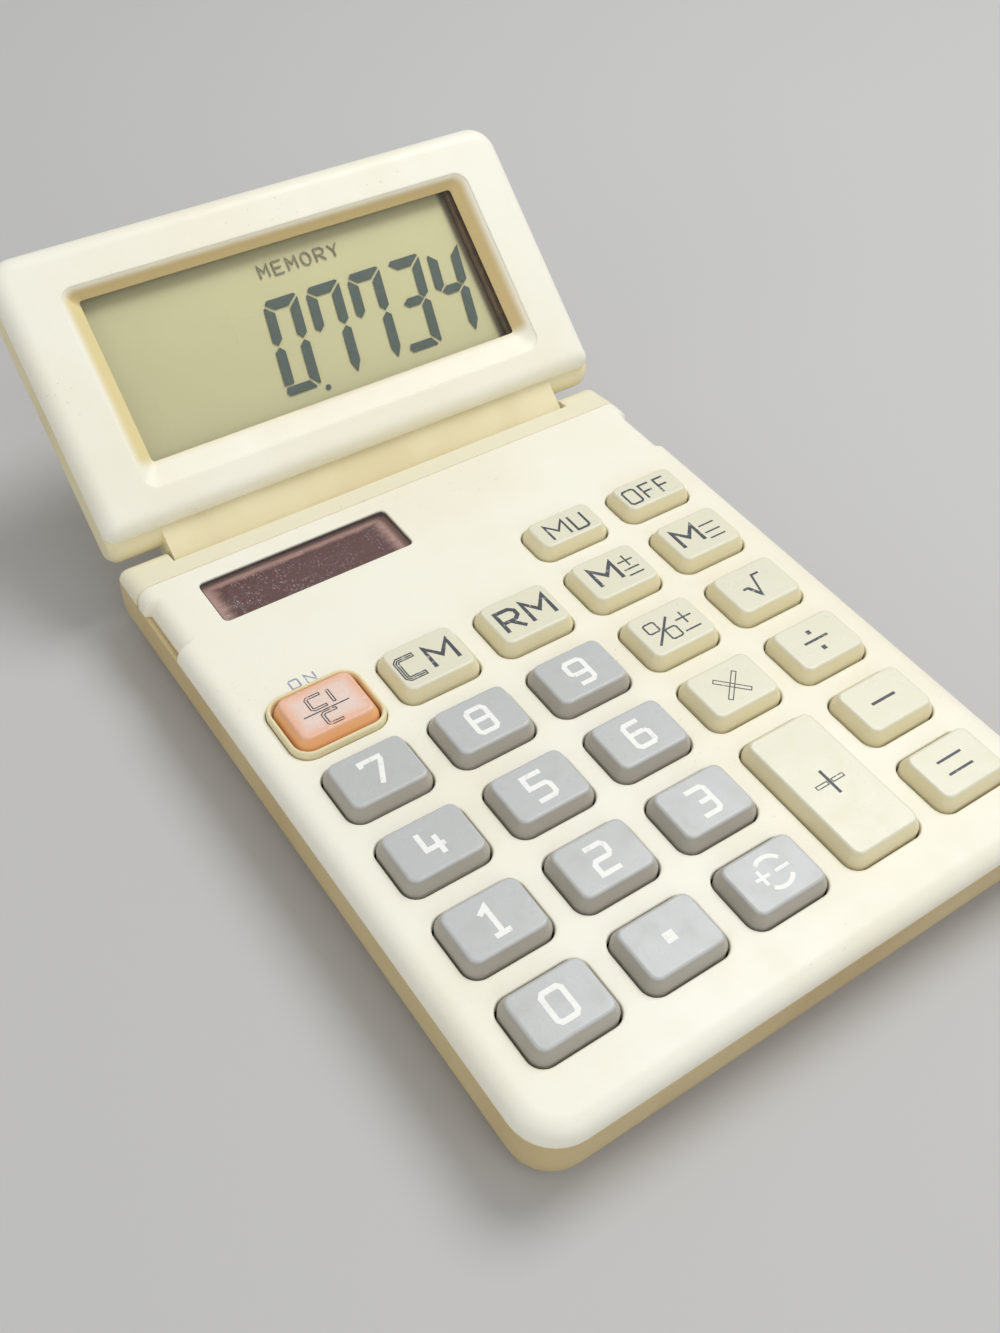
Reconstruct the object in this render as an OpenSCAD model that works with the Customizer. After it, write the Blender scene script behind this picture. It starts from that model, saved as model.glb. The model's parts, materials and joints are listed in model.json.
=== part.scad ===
/* [Body] */
// Width of the body and of the display
body_w = 98; // [94:0.5:112]
// Length of the body, from its front edge to the rear of its ears
body_l = 120; // [118:0.5:136]
// Height of the cover's flat top above the table
body_h = 14.6; // [14.4:0.1:20]
// Radius of the two front corners, seen from above
front_corner_r = 7; // [4:0.5:9]
// Radius of the two rear corners, seen from above
rear_corner_r = 2; // [1:0.25:4]
// Radius of the cover's upper edge
edge_r = 2.8; // [1.5:0.1:3]
// Depth of the seam between cover and case below the flat top
lip_drop = 3.2; // [3.1:0.1:3.6]
// Thickness of the cover's top
cover_wall = 2; // [1.8:0.1:2.2]
// Thickness of the cover's side walls
cover_side = 1.8; // [1.2:0.1:2.2]
// Thickness of the case's side walls
case_wall = 1.6; // [1.2:0.1:2]
// Thickness of the case's floor
floor_t = 1.6; // [1.4:0.1:1.8]
// Height of the case's upright band below the seam
band_h = 4.2; // [3:0.1:5]
// How far the case draws in from the band to its floor
tuck_in = 3; // [1.5:0.25:3.5]
// Length of the case's sloped rear, from the cover's rear edge to the ears' ends
slope_l = 8.2; // [7:0.1:11]
// How far the slope falls over its length
slope_drop = 1.3; // [0.6:0.1:1.8]
// Depth of the finger scoops in the cover's sides
scoop_depth = 1; // [0.5:0.05:1.1]
// Length of the finger scoops
scoop_l = 11.4; // [8:0.1:12]
// Distance of the finger scoops' middles from the ears' ends
scoop_setback = 17; // [15:0.5:30]

/* [Ears and hinge] */
// Width of each ear
ear_w = 8.8; // [8:0.1:12]
// Length of the ears behind the strip between them
ear_l = 4.2; // [3.6:0.1:5]
// Distance of the hinge axis in front of the ears' ends
hinge_setback = 3.8; // [3.4:0.1:4]
// Depth of the hinge axis below the flat top
hinge_drop = 5.6; // [5.4:0.1:6]
// Radius of the hinge barrel
barrel_r = 3.8; // [3.4:0.1:3.9]
// Gap between the barrel and the body round it
barrel_gap = 0.35; // [0.3:0.05:0.5]
// Gap between each end of the barrel and its ear
hinge_gap = 0.6; // [0.5:0.05:1]
// Diameter of the hinge pins
pin_d = 2.5; // [2:0.1:3]
// Length of a hinge pin in its ear
pin_seat_l = 3.8; // [3:0.1:4.5]
// Length of a hinge pin in the barrel
pin_run_l = 4; // [3:0.1:8]
// Radial clearance of a hinge pin in the barrel
pin_clear = 0.05; // [0.02:0.01:0.1]
// Thickness of the friction washers
washer_t = 0.4; // [0.3:0.05:0.45]
// Diameter of the friction washers
washer_d = 6; // [4:0.1:7]
// Angle of the display above the cover
display_tilt = 39; // [0:1:50]

/* [Keys] */
// Distance between the columns of keys
column_pitch = 18; // [17:0.1:18.4]
// Distance between the rows of keys
row_pitch = 14.64; // [13.8:0.02:15]
// Distance from the front edge to the middle of the first row
first_row_y = 14.5; // [13.5:0.1:16]
// Width of a key
key_w = 13.9; // [12:0.1:14.2]
// Depth of a key
key_d = 10.6; // [9.5:0.1:10.8]
// Depth of the two short keys of the rear row
short_key_d = 8.1; // [7.5:0.1:9]
// Corner radius of a key's skirt
key_r = 2.2; // [1:0.1:2.6]
// Corner radius of a key's top
key_top_r = 1.1; // [0.8:0.1:2]
// Height of a key above the cover
key_rise = 2.4; // [2:0.1:3.2]
// How far a key's sides draw in up to its top
key_draft = 1.15; // [0.8:0.05:2]
// Clearance between a key and its opening
key_clear = 0.33; // [0.2:0.01:0.5]
// Thickness of a key's walls
key_wall = 1.6; // [1.2:0.1:2]
// How far a key's retaining tabs reach under the cover
tab_hold = 0.7; // [0.5:0.05:0.8]
// Thickness of the retaining tabs
tab_t = 0.8; // [0.6:0.05:1]
// Gap between the retaining tabs and the cover
tab_gap = 0.2; // [0.1:0.05:0.3]
// Radius of a key's plunger
stem_r = 2; // [1.5:0.1:2.5]
// Length of a key's plunger below its skirt
stem_l = 1.2; // [1:0.1:1.6]
// Width of the rim of the ring round the clear key
ring_w = 0.75; // [0.6:0.05:1]
// Height of the ring above the cover
ring_rise = 1.1; // [0.6:0.05:1.6]
// Outer corner radius of the ring
ring_r = 3.2; // [2.4:0.1:4]

/* [Solar cell] */
// Length of the solar opening
solar_w = 35; // [28:0.5:36]
// Depth of the solar opening
solar_d = 10; // [8:0.1:10.2]
// Corner radius of the solar opening
solar_r = 1; // [0.5:0.1:2]
// Distance of the solar opening from the left side
solar_margin = 9.3; // [9.2:0.1:12]
// Distance of the solar opening's middle in front of the crease
solar_setback = 8.5; // [8.4:0.05:12]
// Depth of the window below the cover's top
window_sink = 0.3; // [0.2:0.05:0.6]
// Depth of the window's seat in the cover's underside
solar_seat = 1.1; // [0.8:0.05:1.2]
// How far the window and the cell reach past the opening
cell_lap = 1.2; // [0.8:0.1:1.3]
// Thickness of the window's flange
window_flange_t = 0.8; // [0.5:0.05:1]
// Thickness of the solar cell
cell_t = 1.2; // [0.8:0.1:1.6]
// Diameter of the solar leads
lead_d = 0.6; // [0.4:0.05:1]

/* [Board and battery] */
// Distance of the board's edges from the body's sides
board_margin = 8; // [7.8:0.1:10]
// Thickness of the main board
board_t = 1.4; // [1:0.1:1.5]
// Thickness of the keypad mat
mat_t = 0.8; // [0.6:0.05:0.9]
// Height of the mat's domes
dome_h = 1.8; // [1.6:0.05:1.9]
// Radius of a dome at its base
dome_base_r = 4.1; // [3.6:0.1:4.2]
// Radius of a dome at its top
dome_top_r = 2.6; // [2.2:0.1:3]
// Radius of the cover's posts for the board
post_r = 1.5; // [1.4:0.05:1.6]
// Diameter of the button cell
cell_d = 11.6; // [9.5:0.1:12]
// Thickness of the button cell
cell_h = 2.1; // [1.6:0.1:2.6]
// Width of the flat cable
ribbon_w = 10; // [6:0.5:12]
// Thickness of the flat cable
ribbon_t = 0.3; // [0.2:0.05:0.4]

/* [Screws and feet] */
// Distance of the rear case screws from the body's sides
screw_margin = 5.4; // [5.2:0.1:5.6]
// Radius of the cover's screw bosses
boss_r = 2.2; // [2:0.05:2.3]
// Shank diameter of the case screws
case_screw_d = 2; // [1.6:0.1:2.2]
// Head diameter of the case screws
case_head_d = 3.6; // [3:0.1:3.8]
// Shank diameter of the board and display screws
small_screw_d = 1.6; // [1.2:0.1:1.8]
// Head diameter of the board and display screws
small_head_d = 3.2; // [2.6:0.1:3.4]
// Diameter of the rubber feet
foot_d = 8; // [6:0.5:9]
// Height of the feet below the case
foot_h = 1; // [0.8:0.1:1.4]

/* [Display] */
// Distance from the hinge axis to the display's lower edge
display_start = 8.9; // [8.8:0.1:11]
// Length of the display from its lower to its upper edge
display_l = 49.1; // [46:0.1:60]
// Thickness of the display
display_t = 10.6; // [10.2:0.1:12]
// Radius of the bezel's front edge
bezel_edge_r = 2.9; // [2.6:0.05:3]
// Radius of the display's upper corners
upper_corner_r = 5; // [3:0.25:7]
// Radius of the display's lower corners
lower_corner_r = 2; // [1:0.25:3]
// Radius of the rounded edges of the display's back
back_r = 3; // [2.5:0.1:3.4]
// Radius of the rounded lower edge above the ears
lower_edge_r = 3.2; // [3:0.05:3.3]
// Thickness of the display's walls
shell_wall = 1.4; // [1.1:0.05:1.6]
// Distance of the recess from the display's sides
rim_side = 9.5; // [9:0.1:14]
// Distance of the recess from the display's lower edge
rim_lower = 5.9; // [5.4:0.1:8]
// Distance of the recess from the display's upper edge
rim_upper = 8; // [7.6:0.1:11]
// Corner radius of the recess
rim_r = 2.5; // [1.5:0.1:4]
// Depth of the recess
recess_depth = 2; // [1.6:0.1:2.2]
// Width of the recess's chamfer at its sides
chamfer_side = 3.1; // [2:0.1:4]
// Width of the recess's chamfer at its lower edge
chamfer_lower = 4.4; // [3:0.1:5]
// Width of the recess's chamfer at its upper edge
chamfer_upper = 2; // [1:0.1:3]
// Thickness of the display window
pane_t = 1; // [0.8:0.05:1.2]
// How far the display window reaches past its opening
pane_lap = 2; // [1.2:0.1:2.4]
// Gap between the display window and the glass behind it
glass_gap = 1; // [0.6:0.05:1.2]
// Thickness of the display glass
glass_t = 1.6; // [1.2:0.05:1.8]
// How far the glass's sides lie inside the opening
glass_inset = 0.5; // [0.3:0.1:2]
// How far the glass reaches past the opening's lower and upper edges
glass_lap = 0.8; // [0.4:0.05:1]
// Thickness of the reflector
reflector_t = 0.3; // [0.2:0.05:0.5]
// Depth of the display board behind the glass
strip_h = 1.6; // [1.2:0.05:1.7]
// Width of the contact strips
strip_w = 1.6; // [1:0.1:1.8]
// Thickness of the display board
small_board_t = 1; // [0.8:0.05:1.1]

/* [Hidden] */
$fn = 48;
HULL_FN = 32;
cream = [0.97, 0.95, 0.87];
beige = [0.86, 0.8, 0.63];
key_cream = [0.9, 0.88, 0.78];
key_grey = [0.66, 0.67, 0.68];
key_orange = [0.93, 0.62, 0.4];
rubber = [0.25, 0.25, 0.26];
board_green = [0.2, 0.42, 0.3];
steel = [0.72, 0.73, 0.75];
clear_blue = [0.8, 0.88, 0.9];
dark_grey = [0.2, 0.19, 0.18];
skin = 0.02;
edge_steps = 5;
reach = 1;

// Each key: its node, column, row, size and colour
KEYS = [
    ["key_0", 0, 0, "regular", key_grey],
    ["key_point", 1, 0, "regular", key_grey],
    ["key_sign", 2, 0, "regular", key_grey],
    ["key_equals", 4, 0, "regular", key_cream],
    ["key_1", 0, 1, "regular", key_grey],
    ["key_2", 1, 1, "regular", key_grey],
    ["key_3", 2, 1, "regular", key_grey],
    ["key_plus", 3, 0.5, "tall", key_cream],
    ["key_minus", 4, 1, "regular", key_cream],
    ["key_4", 0, 2, "regular", key_grey],
    ["key_5", 1, 2, "regular", key_grey],
    ["key_6", 2, 2, "regular", key_grey],
    ["key_multiply", 3, 2, "regular", key_cream],
    ["key_divide", 4, 2, "regular", key_cream],
    ["key_7", 0, 3, "regular", key_grey],
    ["key_8", 1, 3, "regular", key_grey],
    ["key_9", 2, 3, "regular", key_grey],
    ["key_percent", 3, 3, "regular", key_cream],
    ["key_root", 4, 3, "regular", key_cream],
    ["key_clear", 0, 4, "regular", key_orange],
    ["key_memory_clear", 1, 4, "regular", key_cream],
    ["key_memory_recall", 2, 4, "regular", key_cream],
    ["key_memory_plus", 3, 4, "regular", key_cream],
    ["key_memory_minus", 4, 4, "regular", key_cream],
    ["key_markup", 3, 5, "short", key_cream],
    ["key_off", 4, 5, "short", key_cream]
];
CLEAR_KEY = KEYS[19];
middle_column = 2;
last_full_row = 4;

// Heights from the table, from the cover down to the board and from the feet up
seam_z = body_h - lip_drop;
cover_under_z = body_h - cover_wall;
tab_top_z = cover_under_z - tab_gap;
skirt_z = tab_top_z - tab_t;
dome_top_z = skirt_z - stem_l;
mat_top_z = dome_top_z - dome_h;
board_top_z = mat_top_z - mat_t;
board_under_z = board_top_z - board_t;
floor_z = foot_h + floor_t;

// Plan of the body, from its front edge at y = 0
crease_y = body_l - slope_l;
strip_rear_y = body_l - ear_l;
notch_w = body_w - 2 * ear_w;
scoop_rise = 0.02;
hinge_y = body_l - hinge_setback;
hinge_z = body_h - hinge_drop;
notch_y = hinge_y - barrel_r - barrel_gap;
barrel_l = notch_w - 2 * hinge_gap;
board_w = body_w - 2 * board_margin;
board_front_y = 8.8;
board_rear_gap = 2.6;
board_rear_y = notch_y - case_wall - board_rear_gap;

// Key openings
hole_w = key_w + 2 * key_clear;
hole_d = key_d + 2 * key_clear;
short_hole_d = short_key_d + 2 * key_clear;
row_gap = row_pitch - hole_d;
tab_reach = key_clear + tab_hold;
ring_base_w = hole_w + 2 * ring_w;
ring_base_d = hole_d + 2 * ring_w;
ring_clear = 0.1;
side_tab_l = 5;
end_tab_l = 6;
tab_root = 0.3;
cap_wall = 1.3;
cap_foot = 0.2;
cap_round = 0.35;
cap_shoulder = 0.68;
function key_x(k) = (k[1] - middle_column) * column_pitch;
function full_row_y(row) = first_row_y + row * row_pitch;
function short_row_y() = full_row_y(last_full_row) + hole_d / 2 + row_gap + short_hole_d / 2;
function key_y(k) = k[3] == "short" ? short_row_y() : full_row_y(k[2]);
function key_depth(k) = k[3] == "short" ? short_key_d : k[3] == "tall" ? key_d + row_pitch : key_d;

// Solar cell
solar_x = solar_margin + solar_w / 2 - body_w / 2;
solar_y = crease_y - solar_setback;
solar_clear = 0.15;
solar_rib_clear = 0.2;
solar_seat_clear = 0.1;
solar_rib_t = 1;
cell_top_z = cover_under_z + solar_seat - window_flange_t;
cell_under_z = cell_top_z - cell_t;
solar_rib_z = cell_under_z + cell_t / 3;
lead_inset = 2.5;
LEADS = [for (side = [-1, 1]) [solar_x + side * (solar_w / 2 - lead_inset), solar_y]];

// Posts that hold the board, between the keys and beside the solar cell
post_columns = [-1.5, 1.5];
post_rows = [0.5, 2.5];
rear_post_setback = 18.2;
rear_post_y = body_l - rear_post_setback;
short_post_y = full_row_y(last_full_row) + hole_d / 2 + row_gap / 2;
POSTS = concat(
    [for (c = post_columns, r = post_rows) [c * column_pitch, full_row_y(r)]],
    [for (c = post_columns) [c * column_pitch, short_post_y]],
    [[solar_x + solar_w / 2 + cell_lap + 3, rear_post_y], [board_w / 2 - 4, rear_post_y]]
);
post_hole_clear = 0.25;
thread_clear = 0.05;
hole_clear = 0.2;
post_screw_l = 3.6;
post_bore_l = 4.2;
small_head_h = 1;
cross_l = 0.6;
cross_w = 0.17;

// Case screws and feet
front_screw_margin = 10;
front_screw_x = body_w / 2 - front_screw_margin;
front_screw_y = 5.4;
rear_screw_x = body_w / 2 - screw_margin;
CASE_SCREWS = [
    [-front_screw_x, front_screw_y], [front_screw_x, front_screw_y],
    [-rear_screw_x, rear_post_y], [rear_screw_x, rear_post_y]
];
boss_split_z = floor_z + 2.4;
case_boss_wall = 0.6;
head_seat_z = foot_h + 1.8;
head_h = 1.2;
case_screw_l = 7;
case_bore_l = 5.6;
foot_recess = 0.6;
foot_clear = 0.1;
foot_margin = 13;
foot_x = body_w / 2 - foot_margin;
front_foot_y = 18;
rear_foot_setback = 15;
rear_foot_y = body_l - rear_foot_setback;
FEET = [for (x = [-foot_x, foot_x], y = [front_foot_y, rear_foot_y]) [x, y]];

// Parts on the board
chip_w = 12;
chip_t = 1.4;
chip_leads = 8;
chip_lead_pitch = 1.27;
chip_lead_w = 0.5;
chip_lead_l = 1.2;
chip_lead_t = 0.3;
chip_at = [-8, 45];
capacitor_d = 3.2;
capacitor_l = 7;
capacitor_gap = 4;
capacitor_clear = 1.5;
capacitor_setback = 15.85;
capacitor_x = post_columns[0] * column_pitch + small_head_d / 2 + capacitor_clear + capacitor_l / 2;
capacitor_at = [capacitor_x, board_rear_y - capacitor_setback];
battery_inset = 21;
battery_setback = 12;
battery_at = [board_w / 2 - battery_inset, board_rear_y - battery_setback];
contact_t = 0.3;
pad_t = 0.2;
pad_r = 3;
strap_w = 4;
strap_clear = 0.5;
ribbon_x = 8;
ribbon_clear = 0.5;
socket_w = ribbon_w + 2;
socket_d = 3.6;
socket_rise = 0.6;

// Hinge
ear_bore_clear = 0.02;
ear_block_l = 6.4;
ear_block_z = hinge_z - ear_block_l / 2;
ribbon_tip_gap = 0.8;
ribbon_core_r = 2.6;

// Display, measured from the hinge axis when it lies flat: u to the rear, w up
display_end = display_start + display_l;
front_w = hinge_drop;
back_w = front_w - display_t;
rim_w = front_w - bezel_edge_r;
recess_w = front_w - recess_depth;
rim_start = display_start + rim_lower;
rim_end = display_end - rim_upper;
rim_width = body_w - 2 * rim_side;
open_start = rim_start + chamfer_lower;
open_end = rim_end - chamfer_upper;
open_width = rim_width - 2 * chamfer_side;
open_mid = (open_start + open_end) / 2;
open_r = 0.6;
pane_w = recess_w - pane_t;
glass_front_w = pane_w - glass_gap;
glass_back_w = glass_front_w - glass_t;
glass_width = open_width - 2 * glass_inset;
glass_l = open_end - open_start + 2 * glass_lap;
strip_back_w = glass_back_w - strip_h;
small_board_back_w = strip_back_w - small_board_t;
frame_wall = 3;
frame_clear = 0.2;
small_board_side = 4.1;
small_board_end = 4;
small_board_width = glass_width + 2 * small_board_side;
small_board_l = glass_l + 2 * small_board_end;
lower_edge_u = display_start + 0.7;
lower_edge_w = rim_w - 3.1;
back_start = display_start + 3.9;
tongue_step = 1.1;
tongue_back_step = 0.8;
tongue_w = min(rim_w, barrel_r - tongue_step);
tongue_back_w = -barrel_r + tongue_back_step;
tongue_end = display_start + 2;
strip_inset = 2;
display_screw_side = 5;
display_screw_end = 5.5;
DISPLAY_SCREWS = [
    for (x = [-1, 1], u = [display_start + display_screw_end, display_end - display_screw_end])
        [x * (body_w / 2 - display_screw_side), u]
];
display_boss_r = 2;
shell_boss_r = 2.6;
display_split_w = -1;
display_head_w = back_w + 1.6;
display_screw_l = 5.6;
display_bore_l = 4;
rest_post_r = 2;
rest_post_side = 10;
rest_post_end = 6;
rest_post_x = small_board_width / 2 - rest_post_side;
rest_post_u = small_board_l / 2 - rest_post_end;

// Rear-most point of the tilted display, and the middle of the whole length
rear_most_y = hinge_y + (display_end - back_r) * cos(display_tilt)
    - (back_w + back_r) * sin(display_tilt) + back_r;
mid_y = rear_most_y / 2;

// Rise and inset of the steps round a quarter circle
function round_steps(rise, inset, n) =
    [for (i = [0 : n]) [rise * sin(90 * i / n), inset * (1 - cos(90 * i / n))]];

// Moves the body so that the middle of its length is at y = 0
module placed() {
    translate([0, -mid_y, 0]) children();
}

// Turns the display about the hinge axis
module hinged() {
    placed() translate([0, hinge_y, hinge_z]) rotate([display_tilt, 0, 0]) children();
}

// Extrudes an outline in Y and Z along X, centred
module along_x(length) {
    rotate([90, 0, 90]) linear_extrude(length, center = true) children();
}

// Cylinder along X, centred
module rod_x(r, length) {
    rotate([0, 90, 0]) cylinder(r = r, h = length, center = true);
}

// Rounded rectangle, centred
module rounded(w, d, r) {
    square([w - 2 * r, d], center = true);
    square([w, d - 2 * r], center = true);
    for (x = [-1, 1], y = [-1, 1])
        translate([x * (w / 2 - r), y * (d / 2 - r)]) circle(r);
}

// Rectangle from one depth to another, with one radius at each end
module plate(w, start, end, start_r, end_r) {
    translate([-w / 2, start + start_r]) square([w, end - start - start_r - end_r]);
    translate([-w / 2 + start_r, start]) square([w - 2 * start_r, 2 * start_r]);
    translate([-w / 2 + end_r, end - 2 * end_r]) square([w - 2 * end_r, 2 * end_r]);
    for (x = [-1, 1]) {
        translate([x * (w / 2 - start_r), start + start_r]) circle(start_r);
        translate([x * (w / 2 - end_r), end - end_r]) circle(end_r);
    }
}

// Outline of the body drawn in by an inset
module body_plan(inset) {
    plate(body_w - 2 * inset, inset, body_l - inset,
        max(front_corner_r - inset, skin), max(rear_corner_r - inset, skin));
}

// Outline of the display drawn in by an inset
module display_plan(inset) {
    plate(body_w - 2 * inset, display_start + inset, display_end - inset,
        max(lower_corner_r - inset, skin), max(upper_corner_r - inset, skin));
}

// Space above the sloped rear
module above_slope() {
    fall = slope_drop * (slope_l + reach) / slope_l;
    along_x(body_w + 2 * reach) polygon([
        [crease_y, body_h],
        [body_l + reach, body_h - fall],
        [body_l + reach, body_h + reach],
        [crease_y, body_h + reach]
    ]);
}

// Space behind a depth
module behind(y) {
    translate([-body_w, y, -reach]) cube([2 * body_w, body_l, body_h + 2 * reach]);
}

// Space between the ears behind a depth, from a height up, grown by a wall
module ear_notch(from_y, from_z, to_z, wall) {
    translate([-notch_w / 2 - wall, from_y - wall, from_z])
        cube([notch_w + 2 * wall, body_l, to_z - from_z]);
}

// Room between the ears that the barrel and the tongue turn in
module hinge_room() {
    translate([0, hinge_y, hinge_z]) rod_x(barrel_r + barrel_gap, notch_w);
    ear_notch(notch_y, floor_z, hinge_z, 0);
    ear_notch(strip_rear_y, floor_z, body_h + reach, 0);
}

// Retaining tabs on a key's four sides
module key_tabs(depth) {
    tab_x = (key_w + tab_reach - tab_root) / 2;
    for (side = [-1, 1], y = [-1, 1])
        translate([side * tab_x, y * (depth - key_d) / 2, skirt_z + tab_t / 2])
            cube([tab_reach + tab_root, side_tab_l, tab_t], center = true);
    for (end = [-1, 1])
        translate([0, end * (depth + tab_reach - tab_root) / 2, skirt_z + tab_t / 2])
            cube([end_tab_l, tab_reach + tab_root, tab_t], center = true);
}

// Key cap over its own middle: drafted sides, round shoulder, hollow skirt, tabs and plunger
module key_solid(depth) {
    cap_z = body_h + cap_foot;
    top_z = body_h + key_rise;
    shoulder = key_draft * cap_shoulder;
    shoulders = [[cap_round, shoulder], [cap_round / 3, (shoulder + key_draft) / 2], [0, key_draft]];
    difference() {
        union() {
            hull() {
                translate([0, 0, skirt_z]) linear_extrude(cap_z - skirt_z)
                    rounded(key_w, depth, key_r, $fn = HULL_FN);
                for (s = shoulders)
                    translate([0, 0, top_z - s[0] - skin]) linear_extrude(skin)
                        rounded(key_w - 2 * s[1], depth - 2 * s[1], key_top_r, $fn = HULL_FN);
            }
            key_tabs(depth);
        }
        translate([0, 0, skirt_z - reach]) linear_extrude(top_z - cap_wall - skirt_z + reach)
            rounded(key_w - 2 * key_wall, depth - 2 * key_wall, key_r / 2);
    }
    translate([0, 0, dome_top_z]) cylinder(r = stem_r, h = top_z - cap_wall / 2 - dome_top_z);
}

module key(k) {
    color(k[4]) placed() translate([key_x(k), key_y(k), 0]) key_solid(key_depth(k));
}

// Form above the seam: upright lip, round upper edge, sloped rear
module upper_form() {
    difference() {
        hull() {
            translate([0, 0, seam_z]) linear_extrude(lip_drop - edge_r) body_plan(0, $fn = HULL_FN);
            for (s = round_steps(edge_r, edge_r, edge_steps))
                translate([0, 0, body_h - edge_r + s[0] - skin]) linear_extrude(skin)
                    body_plan(s[1], $fn = HULL_FN);
        }
        above_slope();
    }
}

// Hollow under the cover
module cover_hollow() {
    difference() {
        translate([0, 0, seam_z - reach]) linear_extrude(cover_under_z - seam_z + reach)
            body_plan(cover_side);
        behind(crease_y - cover_side);
    }
}

// Bosses, posts and ribs under the cover
module cover_supports() {
    sink = cover_wall / 4;
    for (s = CASE_SCREWS)
        translate([s[0], s[1], boss_split_z])
            cylinder(r = boss_r, h = cover_under_z + sink - boss_split_z);
    for (p = POSTS)
        translate([p[0], p[1], board_top_z])
            cylinder(r = post_r, h = cover_under_z + sink - board_top_z);
    rib_w = solar_w + 2 * (cell_lap + solar_rib_clear + solar_rib_t);
    rib_d = solar_d + 2 * (cell_lap + solar_rib_clear + solar_rib_t);
    translate([solar_x, solar_y, solar_rib_z]) linear_extrude(cover_under_z + sink - solar_rib_z)
        difference() {
            square([rib_w, rib_d], center = true);
            square([rib_w - 2 * solar_rib_t, rib_d - 2 * solar_rib_t], center = true);
        }
}

// Openings for the keys, the ring and the solar window, and the window's seat
module cover_openings() {
    depth = cover_wall + 2 * reach;
    translate([0, 0, cover_under_z - reach]) linear_extrude(depth) {
        for (k = KEYS)
            translate([key_x(k), key_y(k)])
                rounded(hole_w, key_depth(k) + 2 * key_clear, key_r + key_clear);
        translate([key_x(CLEAR_KEY), key_y(CLEAR_KEY)])
            rounded(ring_base_w + 2 * ring_clear, ring_base_d + 2 * ring_clear, ring_r + ring_clear);
        translate([solar_x, solar_y]) rounded(solar_w, solar_d, solar_r);
    }
    seat_lap = cell_lap + solar_seat_clear;
    translate([solar_x, solar_y, cover_under_z - reach]) linear_extrude(solar_seat + reach)
        square([solar_w + 2 * seat_lap, solar_d + 2 * seat_lap], center = true);
}

// Grooves for the fingers in the cover's sides, under the same rounding as the cover's edge
module finger_scoops() {
    side_x = body_w / 2 - scoop_depth;
    for (side = [-1, 1])
        translate([0, body_l - scoop_setback + scoop_l / 2, 0]) rotate([90, 0, 0]) linear_extrude(scoop_l)
            polygon([
                [side * side_x, seam_z - reach],
                for (s = round_steps(edge_r, edge_r, edge_steps))
                    [side * (side_x - s[1]), body_h + scoop_rise - edge_r + s[0]],
                [side * (side_x - edge_r), body_h + reach],
                [side * (body_w / 2 + reach), body_h + reach],
                [side * (body_w / 2 + reach), seam_z - reach],
            ]);
}

module top_cover() {
    color(cream) placed() difference() {
        union() {
            difference() {
                upper_form();
                cover_hollow();
                behind(crease_y);
            }
            cover_supports();
        }
        cover_openings();
        for (s = CASE_SCREWS)
            translate([s[0], s[1], boss_split_z - reach])
                cylinder(r = case_screw_d / 2 + thread_clear, h = case_bore_l + reach);
        for (p = POSTS)
            translate([p[0], p[1], board_top_z - reach])
                cylinder(r = small_screw_d / 2 + thread_clear, h = post_bore_l + reach);
        finger_scoops();
    }
}

// Case form drawn in by a wall, from a floor height up to a top height
module case_form(wall, bottom_z, top_z) {
    band_z = seam_z - band_h;
    hull() {
        translate([0, 0, band_z]) linear_extrude(top_z - band_z) body_plan(wall, $fn = HULL_FN);
        for (s = round_steps(band_z - bottom_z, tuck_in, edge_steps))
            translate([0, 0, band_z - s[0]]) linear_extrude(skin) body_plan(wall + s[1], $fn = HULL_FN);
    }
}

module bottom_case() {
    color(beige) placed() difference() {
        union() {
            difference() {
                case_form(0, foot_h, seam_z);
                difference() {
                    case_form(case_wall, floor_z, seam_z + reach);
                    ear_notch(notch_y, 0, body_h, case_wall);
                }
            }
            for (s = CASE_SCREWS)
                translate([s[0], s[1], (foot_h + floor_z) / 2])
                    cylinder(r = boss_r + case_boss_wall, h = boss_split_z - (foot_h + floor_z) / 2);
            for (side = [-1, 1])
                translate([side * (notch_w + pin_seat_l) / 2, hinge_y, (ear_block_z + seam_z) / 2])
                    cube([pin_seat_l, ear_block_l, seam_z - ear_block_z], center = true);
            intersection() {
                upper_form();
                behind(crease_y);
            }
        }
        hinge_room();
        translate([0, hinge_y, hinge_z]) rod_x(pin_d / 2 + ear_bore_clear, notch_w + 2 * pin_seat_l);
        for (s = CASE_SCREWS) translate([s[0], s[1], 0]) {
            cylinder(r = case_screw_d / 2 + hole_clear, h = body_h);
            cylinder(r = case_head_d / 2 + hole_clear, h = head_seat_z);
        }
        for (f = FEET)
            translate([f[0], f[1], 0]) cylinder(d = foot_d + 2 * foot_clear, h = foot_h + foot_recess);
        translate([ribbon_x, notch_y, hinge_z])
            cube([ribbon_w + 2 * ribbon_clear, 4 * case_wall, ribbon_t + 2 * ribbon_clear], center = true);
    }
}

module clear_key_ring() {
    color(beige) placed() translate([key_x(CLEAR_KEY), key_y(CLEAR_KEY), 0]) difference() {
        hull() {
            translate([0, 0, cover_under_z]) linear_extrude(cover_wall)
                rounded(ring_base_w, ring_base_d, ring_r, $fn = HULL_FN);
            for (s = round_steps(ring_rise, ring_w / 2, edge_steps))
                translate([0, 0, body_h + s[0] - skin]) linear_extrude(skin)
                    rounded(ring_base_w - 2 * s[1], ring_base_d - 2 * s[1], ring_r - s[1], $fn = HULL_FN);
        }
        translate([0, 0, cover_under_z - reach]) linear_extrude(cover_wall + ring_rise + 2 * reach)
            rounded(hole_w, hole_d, key_r + key_clear);
    }
}

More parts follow.
